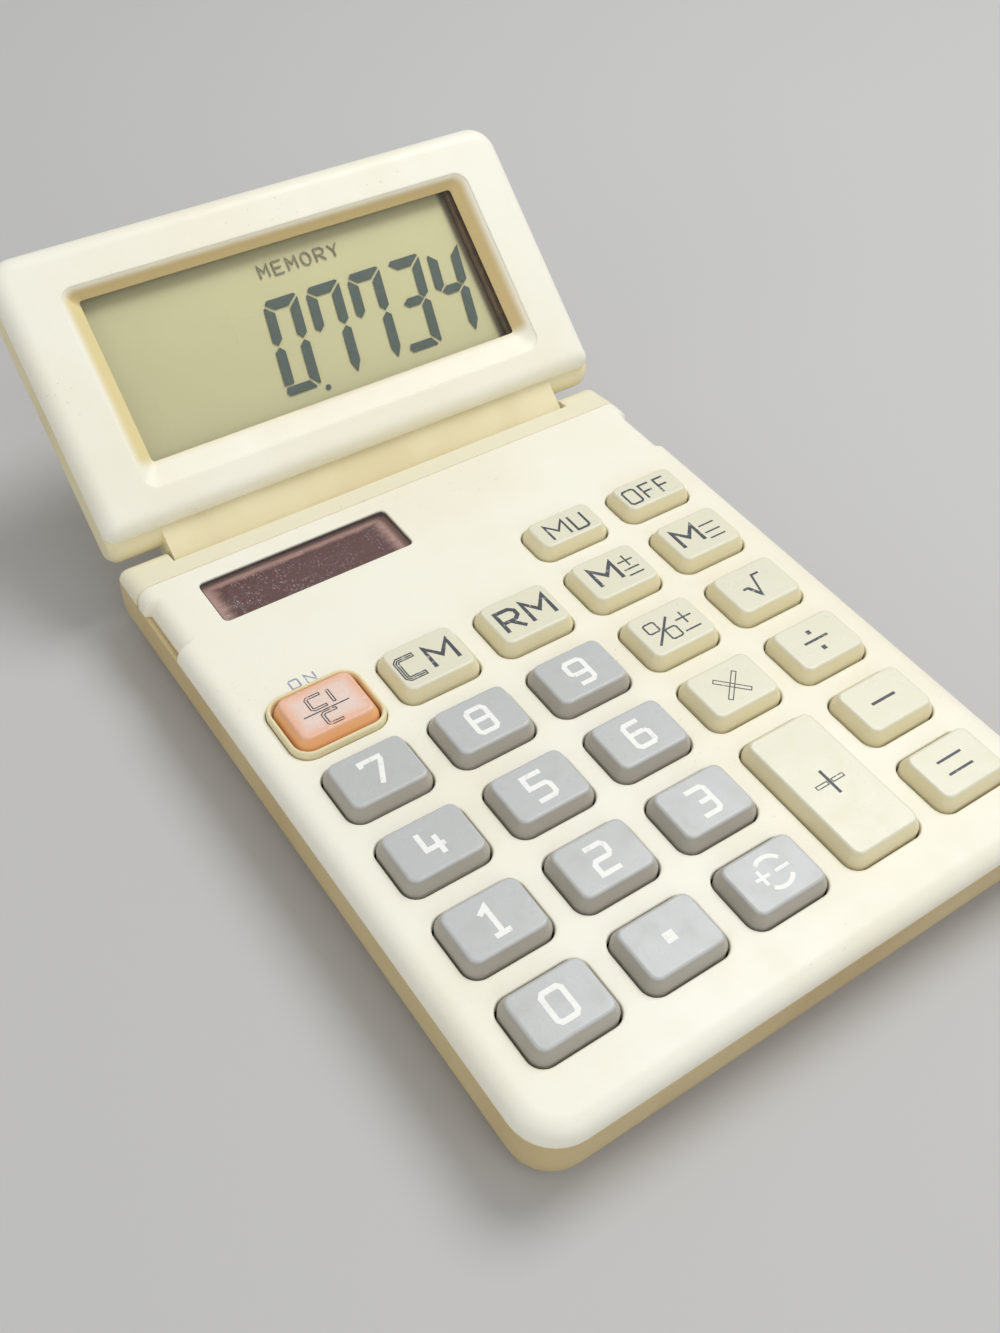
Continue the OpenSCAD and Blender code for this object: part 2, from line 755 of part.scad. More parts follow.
module solar_window() {
    color(clear_blue) placed() translate([solar_x, solar_y, cell_top_z]) {
        linear_extrude(window_flange_t)
            square([solar_w + 2 * cell_lap, solar_d + 2 * cell_lap], center = true);
        linear_extrude(window_flange_t + cover_wall - solar_seat - window_sink)
            rounded(solar_w - 2 * solar_clear, solar_d - 2 * solar_clear, solar_r - solar_clear);
    }
}

module solar_cell() {
    color([0.4, 0.25, 0.25]) placed() translate([solar_x, solar_y, cell_under_z]) linear_extrude(cell_t)
        square([solar_w + 2 * cell_lap, solar_d + 2 * cell_lap], center = true);
}

module solar_leads() {
    color("red") placed() for (l = LEADS)
        translate([l[0], l[1], board_top_z]) cylinder(d = lead_d, h = cell_under_z - board_top_z);
}

module keypad_mat() {
    mat_end_y = short_row_y() + short_hole_d / 2 + tab_reach;
    color(rubber) placed() difference() {
        union() {
            translate([-board_w / 2, board_front_y, board_top_z])
                cube([board_w, mat_end_y - board_front_y, mat_t]);
            for (k = KEYS)
                translate([key_x(k), key_y(k), mat_top_z])
                    cylinder(r1 = dome_base_r, r2 = dome_top_r, h = dome_h);
        }
        for (p = POSTS)
            translate([p[0], p[1], board_top_z - reach])
                cylinder(r = post_r + post_hole_clear, h = mat_t + 2 * reach);
        for (l = LEADS)
            translate([l[0], l[1], board_top_z - reach])
                cylinder(r = lead_d / 2 + post_hole_clear, h = cell_under_z - board_top_z + reach);
    }
}

module main_board() {
    color(board_green) placed() difference() {
        translate([-board_w / 2, board_front_y, board_under_z])
            cube([board_w, board_rear_y - board_front_y, board_t]);
        for (p = POSTS)
            translate([p[0], p[1], board_under_z - reach])
                cylinder(r = small_screw_d / 2 + hole_clear, h = board_t + 2 * reach);
    }
}

module controller_chip() {
    color(dark_grey) placed() translate([chip_at[0], chip_at[1], board_under_z - chip_t]) {
        translate([-chip_w / 2, -chip_w / 2, 0]) cube([chip_w, chip_w, chip_t]);
        for (turn = [0, 90, 180, 270], i = [0 : chip_leads - 1]) rotate(turn)
            translate([chip_w / 2, (i - (chip_leads - 1) / 2) * chip_lead_pitch, chip_t - chip_lead_t])
                translate([0, -chip_lead_w / 2, 0]) cube([chip_lead_l, chip_lead_w, chip_lead_t]);
    }
}

module capacitors() {
    color("royalblue") placed() for (i = [-1, 1])
        translate([capacitor_at[0], capacitor_at[1] + i * capacitor_gap / 2, board_under_z - capacitor_d / 2])
            rod_x(capacitor_d / 2, capacitor_l);
}

module ribbon_socket() {
    color("ivory") placed() translate([ribbon_x - socket_w / 2, board_rear_y - socket_d, board_top_z])
        cube([socket_w, socket_d, hinge_z + ribbon_t / 2 + socket_rise - board_top_z]);
}

module button_cell() {
    color(steel) placed() translate([battery_at[0], battery_at[1], board_under_z - pad_t - cell_h])
        cylinder(d = cell_d, h = cell_h);
}

module battery_contacts() {
    strap_l = cell_d + 2 * strap_clear;
    strap_h = pad_t + cell_h;
    color(steel) placed() translate([battery_at[0], battery_at[1], board_under_z]) {
        translate([0, 0, -pad_t]) cylinder(r = pad_r, h = pad_t);
        translate([0, 0, -strap_h - contact_t / 2])
            cube([strap_l + 2 * contact_t, strap_w, contact_t], center = true);
        for (side = [-1, 1])
            translate([side * (strap_l + contact_t) / 2, 0, -(strap_h + contact_t) / 2])
                cube([contact_t, strap_w, strap_h + contact_t], center = true);
    }
}

module body_ribbon() {
    color("goldenrod") placed() translate([ribbon_x - ribbon_w / 2, board_rear_y, hinge_z - ribbon_t / 2])
        cube([ribbon_w, hinge_y - ribbon_tip_gap - board_rear_y, ribbon_t]);
}

module hinge_pins() {
    length = pin_run_l + hinge_gap + pin_seat_l;
    color(steel) placed() for (side = [-1, 1])
        translate([side * (barrel_l / 2 - pin_run_l + length / 2), hinge_y, hinge_z])
            rod_x(pin_d / 2, length);
}

module hinge_washers() {
    color(steel) placed() for (side = [-1, 1])
        translate([side * (barrel_l + hinge_gap) / 2, hinge_y, hinge_z]) difference() {
            rod_x(washer_d / 2, washer_t);
            rod_x(pin_d / 2 + thread_clear, washer_t + reach);
        }
}

// Screw with its head at the bottom and its shank pointing up
module screw(d, head_d, head, length) {
    difference() {
        cylinder(d = head_d, h = head);
        for (turn = [0, 90]) rotate(turn)
            cube([head_d * cross_l, head_d * cross_w, head], center = true);
    }
    translate([0, 0, head]) cylinder(d = d, h = length);
}

module case_screws() {
    color(steel) placed() for (s = CASE_SCREWS)
        translate([s[0], s[1], head_seat_z - head_h]) screw(case_screw_d, case_head_d, head_h, case_screw_l);
}

module board_screws() {
    color(steel) placed() for (p = POSTS)
        translate([p[0], p[1], board_under_z - small_head_h])
            screw(small_screw_d, small_head_d, small_head_h, board_t + post_screw_l);
}

module rubber_feet() {
    color(rubber) placed() for (f = FEET)
        translate([f[0], f[1], 0]) cylinder(d = foot_d, h = foot_h + foot_recess);
}

// Recess of the display, from its rim at the front to the opening behind
module display_recess() {
    hull() {
        translate([0, (rim_start + rim_end) / 2, front_w]) linear_extrude(skin)
            rounded(rim_width, rim_end - rim_start, rim_r, $fn = HULL_FN);
        translate([0, open_mid, recess_w - skin]) linear_extrude(skin)
            rounded(open_width, open_end - open_start, open_r, $fn = HULL_FN);
    }
}

module display_bezel() {
    inner_h = recess_w - rim_w;
    color(cream) hinged() difference() {
        union() {
            difference() {
                hull() for (s = round_steps(bezel_edge_r, bezel_edge_r, edge_steps))
                    translate([0, 0, rim_w + s[0] - (s[0] > 0 ? skin : 0)]) linear_extrude(skin)
                        display_plan(s[1], $fn = HULL_FN);
                translate([0, 0, rim_w - reach]) linear_extrude(inner_h + reach) display_plan(shell_wall);
            }
            for (s = DISPLAY_SCREWS)
                translate([s[0], s[1], display_split_w])
                    cylinder(r = display_boss_r, h = recess_w + recess_depth / 4 - display_split_w);
        }
        display_recess();
        for (s = DISPLAY_SCREWS)
            translate([s[0], s[1], display_split_w - reach])
                cylinder(r = small_screw_d / 2 + thread_clear, h = display_bore_l + reach);
    }
}

// Lower edge of the display's back at a height
function lower_edge_at(w) =
    lower_edge_u - sqrt(max(pow(lower_edge_r, 2) - pow(w - lower_edge_w, 2), 0));

// Steps of the display's back drawn in by a wall, from its rim down: height, inset and lower edge
function shell_steps(wall) = let (round_w = back_w + back_r, r = back_r - wall, low = lower_edge_at(round_w))
    concat(
        [for (i = [0 : edge_steps]) let (w = rim_w + (round_w - rim_w) * i / edge_steps)
            [w, wall, lower_edge_at(w) + wall]],
        [for (s = round_steps(r, r, edge_steps))
            [round_w - s[0], wall + s[1], low + wall + (back_start - low) * s[1] / r]]
    );

// The display's back drawn in by a wall, up to a height above its rim
module shell_form(wall, rise) {
    hull() {
        translate([0, 0, rim_w - skin]) linear_extrude(rise + skin) display_plan(wall, $fn = HULL_FN);
        for (s = shell_steps(wall))
            translate([0, 0, s[0] - (s[0] < rim_w ? 0 : skin)]) linear_extrude(skin)
                plate(body_w - 2 * s[1], s[2], display_end - s[1], max(lower_corner_r - s[1], skin),
                    max(upper_corner_r - s[1], skin), $fn = HULL_FN);
    }
}

// Way for the flat cable: a slot along the tongue and a core that opens to the body's side
module ribbon_way() {
    seat_w = strip_back_w + ribbon_t / 2;
    translate([ribbon_x - ribbon_w / 2 - ribbon_clear, 0, seat_w - ribbon_clear])
        cube([ribbon_w + 2 * ribbon_clear, tongue_end + reach, 2 * ribbon_clear]);
    translate([ribbon_x, 0, 0]) rod_x(ribbon_core_r, ribbon_w + 2 * ribbon_clear);
    translate([ribbon_x, 0, 0]) along_x(ribbon_w + 2 * ribbon_clear) polygon([
        [0, -ribbon_clear * 2], [-barrel_r - reach, -ribbon_clear * 2],
        [-barrel_r - reach, barrel_r + reach], [-ribbon_core_r, barrel_r + reach], [0, ribbon_clear * 2]
    ]);
}

module display_rear_shell() {
    color(beige) hinged() difference() {
        union() {
            difference() {
                union() {
                    shell_form(0, 0);
                    rod_x(barrel_r, barrel_l);
                    translate([-barrel_l / 2, 0, tongue_back_w])
                        cube([barrel_l, tongue_end, tongue_w - tongue_back_w]);
                }
                shell_form(shell_wall, reach);
            }
            for (s = DISPLAY_SCREWS)
                translate([s[0], s[1], back_w + shell_wall / 2])
                    cylinder(r = shell_boss_r, h = display_split_w - back_w - shell_wall / 2);
            for (x = [-1, 1], end = [-1, 1])
                translate([x * rest_post_x, open_mid + end * rest_post_u, back_w + shell_wall / 2])
                    cylinder(r = rest_post_r, h = small_board_back_w - back_w - shell_wall / 2);
        }
        for (side = [-1, 1])
            translate([side * barrel_l / 2, 0, 0]) rod_x(pin_d / 2 + pin_clear, 2 * (pin_run_l + hole_clear));
        ribbon_way();
        for (s = DISPLAY_SCREWS) translate([s[0], s[1], back_w - reach]) {
            cylinder(r = small_screw_d / 2 + hole_clear, h = display_t);
            cylinder(r = small_head_d / 2 + hole_clear, h = display_head_w - back_w + reach);
        }
    }
}

module display_window() {
    color(clear_blue) hinged() translate([0, open_mid, pane_w]) linear_extrude(pane_t)
        square([open_width + 2 * pane_lap, open_end - open_start + 2 * pane_lap], center = true);
}

module lcd_glass() {
    color([0.78, 0.79, 0.58]) hinged() translate([0, open_mid, glass_back_w]) linear_extrude(glass_t)
        square([glass_width, glass_l], center = true);
}

module lcd_reflector() {
    color([0.8, 0.8, 0.62]) hinged() translate([0, open_mid, glass_back_w - reflector_t])
        linear_extrude(reflector_t)
            square([glass_width - 2 * strip_inset, glass_l - 4 * strip_w], center = true);
}

module lcd_frame() {
    color(dark_grey) hinged() translate([0, open_mid, strip_back_w]) linear_extrude(pane_w - strip_back_w)
        difference() {
            square([glass_width + 2 * frame_wall, glass_l + 2 * frame_wall], center = true);
            square([glass_width + 2 * frame_clear, glass_l + 2 * frame_clear], center = true);
        }
}

module lcd_connectors() {
    color([0.85, 0.55, 0.6]) hinged() for (end = [-1, 1])
        translate([0, open_mid + end * (glass_l / 2 - strip_w), strip_back_w + strip_h / 2])
            cube([glass_width - 2 * strip_inset, strip_w, strip_h], center = true);
}

module display_board() {
    color(board_green) hinged() translate([0, open_mid, small_board_back_w]) linear_extrude(small_board_t)
        square([small_board_width, small_board_l], center = true);
}

module display_ribbon() {
    ribbon_end = open_mid - glass_l / 2 - frame_wall - frame_clear;
    color("goldenrod") hinged() translate([ribbon_x - ribbon_w / 2, ribbon_tip_gap, strip_back_w])
        cube([ribbon_w, ribbon_end - ribbon_tip_gap, ribbon_t]);
}

module display_screws() {
    color(steel) hinged() for (s = DISPLAY_SCREWS)
        translate([s[0], s[1], display_head_w - small_head_h])
            screw(small_screw_d, small_head_d, small_head_h, display_screw_l);
}

for (k = KEYS) key(k);
top_cover();
bottom_case();
clear_key_ring();
solar_window();
solar_cell();
solar_leads();
keypad_mat();
main_board();
controller_chip();
capacitors();
ribbon_socket();
button_cell();
battery_contacts();
body_ribbon();
hinge_pins();
hinge_washers();
case_screws();
board_screws();
rubber_feet();
display_bezel();
display_rear_shell();
display_window();
lcd_glass();
lcd_reflector();
lcd_frame();
lcd_connectors();
display_board();
display_ribbon();
display_screws();
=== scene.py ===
"""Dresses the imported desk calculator: shells, keys, display, finishes, light and stage."""

import json
import math

import bmesh
import bpy
from bpy.props import FloatProperty, FloatVectorProperty, PointerProperty
from mathutils import Matrix, Vector


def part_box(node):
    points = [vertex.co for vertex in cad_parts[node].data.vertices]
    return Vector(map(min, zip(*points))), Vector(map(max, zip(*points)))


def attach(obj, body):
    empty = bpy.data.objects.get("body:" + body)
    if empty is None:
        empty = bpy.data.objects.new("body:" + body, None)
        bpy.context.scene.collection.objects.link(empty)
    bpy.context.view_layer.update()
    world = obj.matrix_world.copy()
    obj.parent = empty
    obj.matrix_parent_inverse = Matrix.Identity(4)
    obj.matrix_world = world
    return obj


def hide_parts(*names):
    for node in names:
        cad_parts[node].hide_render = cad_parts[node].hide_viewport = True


bl_info = {
    "name": "Solar desk calculator",
    "version": (1, 0, 0),
    "blender": (4, 5, 0),
    "location": "3D View > Sidebar > Calculator",
    "description": "Builds the shells, keys, display and finishes of a desk calculator round its packed model",
    "category": "Object",
}

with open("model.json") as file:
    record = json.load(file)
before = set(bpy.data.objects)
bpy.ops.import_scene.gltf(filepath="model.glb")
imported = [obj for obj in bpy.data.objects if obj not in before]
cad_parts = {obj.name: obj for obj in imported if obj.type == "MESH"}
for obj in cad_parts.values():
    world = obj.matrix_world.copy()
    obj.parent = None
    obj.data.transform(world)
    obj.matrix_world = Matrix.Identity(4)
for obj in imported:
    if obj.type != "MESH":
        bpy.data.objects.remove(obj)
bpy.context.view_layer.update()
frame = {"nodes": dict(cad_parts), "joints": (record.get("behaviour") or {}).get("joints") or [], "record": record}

MM = 0.001
COVER_LOW, COVER_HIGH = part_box("top_cover")
CASE_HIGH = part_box("bottom_case")[1]
FRONT = COVER_LOW.y
HALF = COVER_HIGH.x / MM
CREASE = (COVER_HIGH.y - FRONT) / MM
REAR = (CASE_HIGH.y - FRONT) / MM
TOP = COVER_HIGH.z / MM
HINGE = Vector(next(j["pos_m"] for j in frame["joints"] if j["name"] == "display_tilt"))
TILT = math.radians(39)
SLOT_OF = {part["node"]: part["material_slot"] for part in frame["record"]["subparts"]}
KEYS = [node for node in SLOT_OF if node.startswith("key_")]

CORNER_STEPS = 8
EDGE_STEPS = 10
RIM_STEPS = 4
SUPPORT = 0.3
LEAST_R = 0.3


def length(name, description, millimetres):
    """A length that the sidebar shows, given in millimetres."""
    return FloatProperty(name=name, description=description, default=millimetres * MM, min=0, precision=5,
                         unit="LENGTH")


def tint(name, description, red, green, blue):
    """A colour that the sidebar shows, given as on a screen from 0 to 255."""
    return FloatVectorProperty(name=name, description=description, size=3, min=0, max=1, subtype="COLOR_GAMMA",
                               default=(red / 255, green / 255, blue / 255))


class CalculatorSizes(bpy.types.PropertyGroup):
    """Sizes of the dressed pieces."""

    seam_height: length("Seam height", "Height of the seam between cover and case", 11.4)
    cover_edge: length("Cover edge", "Radius of the cover's upper edge", 2.8)
    front_corner: length("Front corner", "Radius of the body's front corners", 7)
    rear_corner: length("Rear corner", "Radius of the body's rear corners", 2)
    seam_chamfer: length("Seam chamfer", "Chamfer of the edges along the seams", 0.15)
    rim_round: length("Rim rounding", "Rounding of the rims of the key openings", 0.3)
    key_width: length("Key width", "Width of a key at its skirt", 13.9)
    key_depth: length("Key depth", "Depth of a key at its skirt", 10.6)
    short_depth: length("Short key depth", "Depth of a key of the rear row", 8.1)
    tall_depth: length("Tall key depth", "Depth of the plus key", 25.24)
    key_corner: length("Key corner", "Radius of a key's corners", 2.2)
    key_clearance: length("Key clearance", "Gap between a key and its opening", 0.33)
    key_skirt: length("Skirt height", "Height of a key's upright skirt", 3.2)
    key_draft: length("Key draft", "Inset of a key's top from its skirt", 1.15)
    digit_height: length("Digit height", "Height of the digits on the keys", 5.4)
    digit_width: length("Digit width", "Width of the digits on the keys", 3.95)
    digit_stroke: length("Digit stroke", "Width of the digits' strokes", 0.8)
    print_rise: length("Print rise", "Height of the print above its surface", 0.025)
    bezel_edge: length("Bezel edge", "Radius of the display's front edge", 2.9)
    segment_stroke: length("Segment stroke", "Width of the segments of the readout", 2.1)


class CalculatorColours(bpy.types.PropertyGroup):
    """Colours of the dressed pieces."""

    cover: tint("Cover", "Cream plastic of the cover", 248, 246, 231)
    cover_aged: tint("Aged cover", "Cream plastic where it has yellowed", 242, 236, 212)
    case: tint("Case", "Beige plastic of the display's back", 238, 228, 188)
    case_aged: tint("Aged case", "Beige plastic where it has darkened", 222, 206, 160)
    # Painted shade: both case body tones are darker than the plastic to stand for the shade on the case's sides;
    # the aged tone also marks random darkened patches.
    case_body_shaded: tint("Case body", "Beige plastic of the case's sides", 210, 190, 142)
    case_body_aged_shaded: tint("Aged case body", "Beige plastic of the case's sides where it has darkened", 190, 165, 112)
    strip: tint("Strip", "Paler beige of the case's rear strip and ears", 242, 238, 214)
    # Painted light and shade: the two recess tones stand for the lit left side and the shaded upper and right
    # sides of the display's recess.
    recess: tint("Recess", "Warmer tone on the left side of the display's recess", 230, 214, 158)
    recess_painted_shade: tint("Recess shade", "Tan tone on the recess's upper and right sides", 206, 184, 130)
    # The top and side tones of each key differ partly through the plastic's own ageing and partly as painted light
    # and shade.
    key_cream: tint("Cream key top", "Top of the cream keys", 230, 228, 206)
    key_cream_side_and_shade: tint("Cream key side", "Sides of the cream keys", 234, 224, 185)
    key_grey: tint("Grey key top", "Top of the grey keys", 193, 196, 196)
    key_grey_side_and_shade: tint("Grey key side", "Sides of the grey keys", 176, 171, 160)
    key_orange: tint("Orange key top", "Top of the orange key", 240, 186, 156)
    key_orange_side_and_shade: tint("Orange key side", "Sides of the orange key", 250, 186, 128)
    print_white: tint("White print", "Print on the grey keys", 251, 251, 248)
    print_dark: tint("Dark print", "Print on the cream keys", 66, 70, 80)
    film: tint("Film", "Reflecting film of the readout", 236, 231, 182)
    # Painted shadow: the film's right end is darkened where the recess's right side shades it.
    film_painted_shadow: tint("Film end", "Brown end of the film on the right", 120, 109, 80)
    segment: tint("Segment", "Dark segments of the readout", 66, 84, 76)
    cell: tint("Solar cell", "Plate of the solar cell", 98, 60, 58)
    cell_border: tint("Cell border", "Paler border of the solar cell", 186, 150, 142)
    floor: tint("Floor", "Studio floor", 198, 198, 198)


def sizes():
    return bpy.context.scene.calculator_sizes


def colours():
    return bpy.context.scene.calculator_colours


def mm(value):
    """A length of the sidebar in millimetres."""
    return value / MM


def on_body(x, y, z):
    """A point given in millimetres from the body's front edge, its middle and the table."""
    return Vector((x * MM, FRONT + y * MM, z * MM))


def on_display(x, u, w):
    """A point given in millimetres across the display, up from the hinge and out of its face."""
    u, w = u * MM, w * MM
    back, up = u * math.cos(TILT) - w * math.sin(TILT), u * math.sin(TILT) + w * math.cos(TILT)
    return HINGE + Vector((x * MM, back, up))


def arc(x, y, radius, start, end, steps=10):
    """Points of an arc between two angles in degrees."""
    angles = (math.radians(start + (end - start) * i / steps) for i in range(steps + 1))
    return [(x + radius * math.cos(a), y + radius * math.sin(a)) for a in angles]


def ring(half, low, high, low_r, high_r, side=(), rear=()):
    """Anticlockwise outline of a plate with rounded corners, with extra points along its sides and its rear."""
    def corner(x, y, radius, start):
        return arc(x, y, radius, start, start + 90, CORNER_STEPS)

    return (corner(-half + low_r, low + low_r, low_r, 180) + corner(half - low_r, low + low_r, low_r, 270)
            + [(half, y) for y in side] + corner(half - high_r, high - high_r, high_r, 0)
            + [(x, high) for x in rear] + corner(-half + high_r, high - high_r, high_r, 90)
            + [(-half, y) for y in reversed(side)])


def circle(x, y, radius, count=40):
    return [(x + radius * math.cos(math.tau * i / count), y + radius * math.sin(math.tau * i / count))
            for i in range(count)]


def level(points, height):
    return [(x, y, height) for x, y in points]


def moved(points, x, y):
    return [(px + x, py + y) for px, py in points]


def quarter(steps):
    """Pairs of 1 - cosine and sine over a quarter turn."""
    turns = (math.pi / 2 * i / steps for i in range(steps + 1))
    return [(1 - math.cos(a), math.sin(a)) for a in turns]


class Shape:
    """A mesh made of loops of points, in millimetres of the piece that carries it."""

    def __init__(self, place):
        self.place = place
        self.mesh = bmesh.new()
        self.material = 0
        self.strokes = 0

    def loop(self, points):
        return [self.mesh.verts.new(self.place(*point)) for point in points]

    def face(self, corners):
        self.mesh.faces.new(corners).material_index = self.material

    def skin(self, *loops, closed=True, skip=()):
        """Joins each loop to the next with a strip of faces, apart from the skipped steps."""
        for a, b in zip(loops, loops[1:]):
            count = len(a)
            for i in range(count if closed else count - 1):
                if i not in skip:
                    j = (i + 1) % count
                    self.face((a[i], a[j], b[j], b[i]))

    def fill(self, *loops):
        """Closes the flat area inside the first loop and outside the others."""
        edges = []
        for corners in loops:
            for a, b in zip(corners, corners[1:] + corners[:1]):
                edges.append(self.mesh.edges.get((a, b)) or self.mesh.edges.new((a, b)))
        made = bmesh.ops.triangle_fill(self.mesh, use_beauty=True, use_dissolve=False, edges=edges)
        for item in made["geom"]:
            if isinstance(item, bmesh.types.BMFace):
                item.material_index = self.material

    def prism(self, points, low, high):
        """A flat outline raised from one height to another."""
        bottom, top = self.loop(level(points, low)), self.loop(level(points, high))
        self.skin(bottom, top)
        self.face(bottom)
        self.face(top)

    def well(self, outline, start, end):
        """A pit or a post with a flat end; gives back the loop that it starts from."""
        loops = [self.loop(level(outline, height)) for height in (start, end)]
        self.skin(*loops)
        self.fill(loops[1])
        return loops[0]

    def strip(self, left, right, low, high, closed):
        """A raised band between two rows of points."""
        rows = [self.loop(level(row, height)) for height in (low, high) for row in (left, right)]
        for a, b in ((0, 1), (2, 3), (0, 2), (1, 3)):
            self.skin(rows[a], rows[b], closed=closed)
        if not closed:
            for end in (0, -1):
                self.face([rows[i][end] for i in (0, 1, 3, 2)])

    def made(self, name, *materials):
        """The finished mesh as an object of the scene."""
        if any(not edge.is_manifold for edge in self.mesh.edges):
            raise RuntimeError(f"the mesh of {name} isn't closed")
        bmesh.ops.recalc_face_normals(self.mesh, faces=self.mesh.faces[:])
        data = bpy.data.meshes.new(name)
        self.mesh.to_mesh(data)
        self.mesh.free()
        for material in materials:
            data.materials.append(material)
        return linked(name, data)


def linked(name, data):
    piece = bpy.data.objects.new(name, data)
    bpy.context.scene.collection.objects.link(piece)
    return piece


def settle(piece):
    """Turns a piece's modifiers into plain mesh."""
    evaluated = piece.evaluated_get(bpy.context.evaluated_depsgraph_get())
    data = bpy.data.meshes.new_from_object(evaluated)
    old = piece.data
    piece.modifiers.clear()
    piece.data = data
    data.name = piece.name
    bpy.data.meshes.remove(old)


def combine(piece, tool, operation):
    """Joins a second object to a piece or cuts it out of the piece."""
    step = piece.modifiers.new(tool.name, "BOOLEAN")
    step.operation, step.solver, step.object = operation, "EXACT", tool
    settle(piece)
    bpy.data.objects.remove(tool)


def fit(piece, body, slot, *nodes, sharp=35):
    """Smooths a finished piece, hangs it from its body's empty and hides the nodes that it stands for."""
    piece.data.polygons.foreach_set("use_smooth", [True] * len(piece.data.polygons))
    piece.data.set_sharp_from_angle(angle=math.radians(sharp))
    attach(piece, body)
    if nodes:
        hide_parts(*nodes)


class Value:
    """A socket on which sums are written as Python expressions."""

    def __init__(self, tree, socket):
        self.tree = tree
        self.socket = socket

    def math(self, operation, *values):
        return self.tree.node("ShaderNodeMath", {"operation": operation}, dict(enumerate(values)))

    def __add__(self, other):
        return self.math("ADD", self, other)

    def __sub__(self, other):
        return self.math("SUBTRACT", self, other)

    def __rsub__(self, other):
        return self.math("SUBTRACT", other, self)

    def __mul__(self, other):
        return self.math("MULTIPLY", self, other)

    def __truediv__(self, other):
        return self.math("DIVIDE", self, other)

    def __abs__(self):
        return self.math("ABSOLUTE", self)

    __radd__ = __add__

    def between(self, low, high):
        """Rises smoothly from 0 to 1 between two values."""
        return self.tree.node("ShaderNodeMapRange", {"interpolation_type": "SMOOTHSTEP"},
                              {"Value": self, "From Min": low, "From Max": high})

    def least(self, other):
        return self.math("MINIMUM", self, other)

    def most(self, other):
        return self.math("MAXIMUM", self, other)


class Tree:
    """Adds nodes to a node tree from their type, their settings and their sockets' values."""

    def __init__(self, tree):
        self.tree = tree

    def add(self, kind, settings=None, values=None):
        node = self.tree.nodes.new(kind)
        for name, value in (settings or {}).items():
            setattr(node, name, value)
        for key, value in (values or {}).items():
            socket = self.socket(node.inputs, key)
            if isinstance(value, Value):
                self.tree.links.new(value.socket, socket)
            else:
                socket.default_value = value
        return node

    def node(self, kind, settings=None, values=None, out=0):
        node = self.add(kind, settings, values)
        return Value(self, self.socket(node.outputs, out))

    def blend(self, factor, a, b):
        """Goes from one shader to another."""
        return self.node("ShaderNodeMixShader", None, {0: factor, 1: a, 2: b})

    @staticmethod
    def socket(sockets, key):
        if isinstance(key, int):
            return sockets[key]
        return next(s for s in sockets if key in (s.identifier, s.name) and s.enabled)


def linear(colour):
    """A screen colour as the light that it stands for."""
    return [c / 12.92 if c <= 0.04045 else ((c + 0.055) / 1.055) ** 2.4 for c in colour[:3]] + [1]


def dim(colour, share):
    """A screen colour made darker or paler."""
    return [share * c for c in colour]


class Finish(Tree):
    """A material under way: patterns in metres of the object's own frame, mixed into one surface."""

    def __init__(self, name):
        self.material = bpy.data.materials.new(name)
        self.material.use_nodes = True
        super().__init__(self.material.node_tree)
        self.tree.nodes.clear()
        self.place = self.node("ShaderNodeTexCoord", out="Object")
        axes = self.add("ShaderNodeSeparateXYZ", None, {"Vector": self.place})
        self.x, self.y, self.z = (Value(self, axes.outputs[i]) for i in range(3))

    def noise(self, scale, detail=2, roughness=0.5, stretch=None):
        place = self.place
        if stretch:
            place = self.node("ShaderNodeVectorMath", {"operation": "MULTIPLY"}, {0: place, 1: stretch})
        return self.node("ShaderNodeTexNoise", None,
                         {"Vector": place, "Scale": scale, "Detail": detail, "Roughness": roughness})

    def mix(self, factor, a, b):
        """Goes from one colour to another; a colour is a screen colour or a mix."""
        a, b = (c if isinstance(c, Value) else linear(c) for c in (a, b))
        return self.node("ShaderNodeMix", {"data_type": "RGBA", "clamp_factor": True},
                         {"Factor_Float": factor, "A_Color": a, "B_Color": b}, "Result_Color")

    def bump(self, height, depth):
        values = {"Height": height, "Distance": depth, "Strength": 1.0}
        return self.node("ShaderNodeBump", None, values, "Normal")

    def surface(self, **values):
        return self.node("ShaderNodeBsdfPrincipled", None,
                         {name.replace("_", " "): value for name, value in values.items()})

    def done(self, shader):
        self.add("ShaderNodeOutputMaterial", None, {"Surface": shader})
        return self.material


STRIP_FADE = (0.0113, 0.0120)
RECESS_PAINT_FADE = (0.0180, 0.0205)
# Heights of the keys' foot shade, their top, and the painted highlight along the top's edge.
KEY_FOOT, KEY_CROWN = (0.0146, 0.0160), (0.0165, 0.0169)
KEY_HIGHLIGHT, KEY_CREST = (0.0167, 0.01685), (0.01694, 0.01701)
FILM_SHADOW_EDGE = (0.0341, 0.0353)
GRAIN = 5200


def plastic(name, fresh, aged, roughness=0.42, dust=0.25, coarse=28, tint_and_painted_light=None):
    """Satin moulded plastic: yellowing, mottling, a fine grain, a little dust and a tint in some places, which on
    the bezel's recess is painted light and shade.
    """
    f = Finish(name)
    slow, mottle, grain = f.noise(coarse, 3), f.noise(230, 3), f.noise(GRAIN, 2)
    specks = f.noise(1500, 1).between(0.70, 0.78) * f.noise(60, 2).between(0.5, 0.72)
    colour = f.mix(slow.between(0.38, 0.72) * 0.65 + (mottle - 0.5) * 0.25, fresh, aged)
    if tint_and_painted_light:
        colour = tint_and_painted_light(f, colour)
    colour = f.mix(specks * dust, colour, (0.35, 0.31, 0.25))
    return f.done(f.surface(
        Base_Color=colour, Roughness=roughness + (mottle - 0.5) * 0.16 + (grain - 0.5) * 0.08,
        Normal=f.bump(grain * 0.6 + mottle * 0.8, 0.00003), Specular_IOR_Level=0.45))


def strip_tint(f, colour):
    """Paler beige above the seam; the darker beige below it on the case's sides is partly painted shade."""
    return f.mix(f.z.between(*STRIP_FADE) * 0.9, colour, colours().strip)


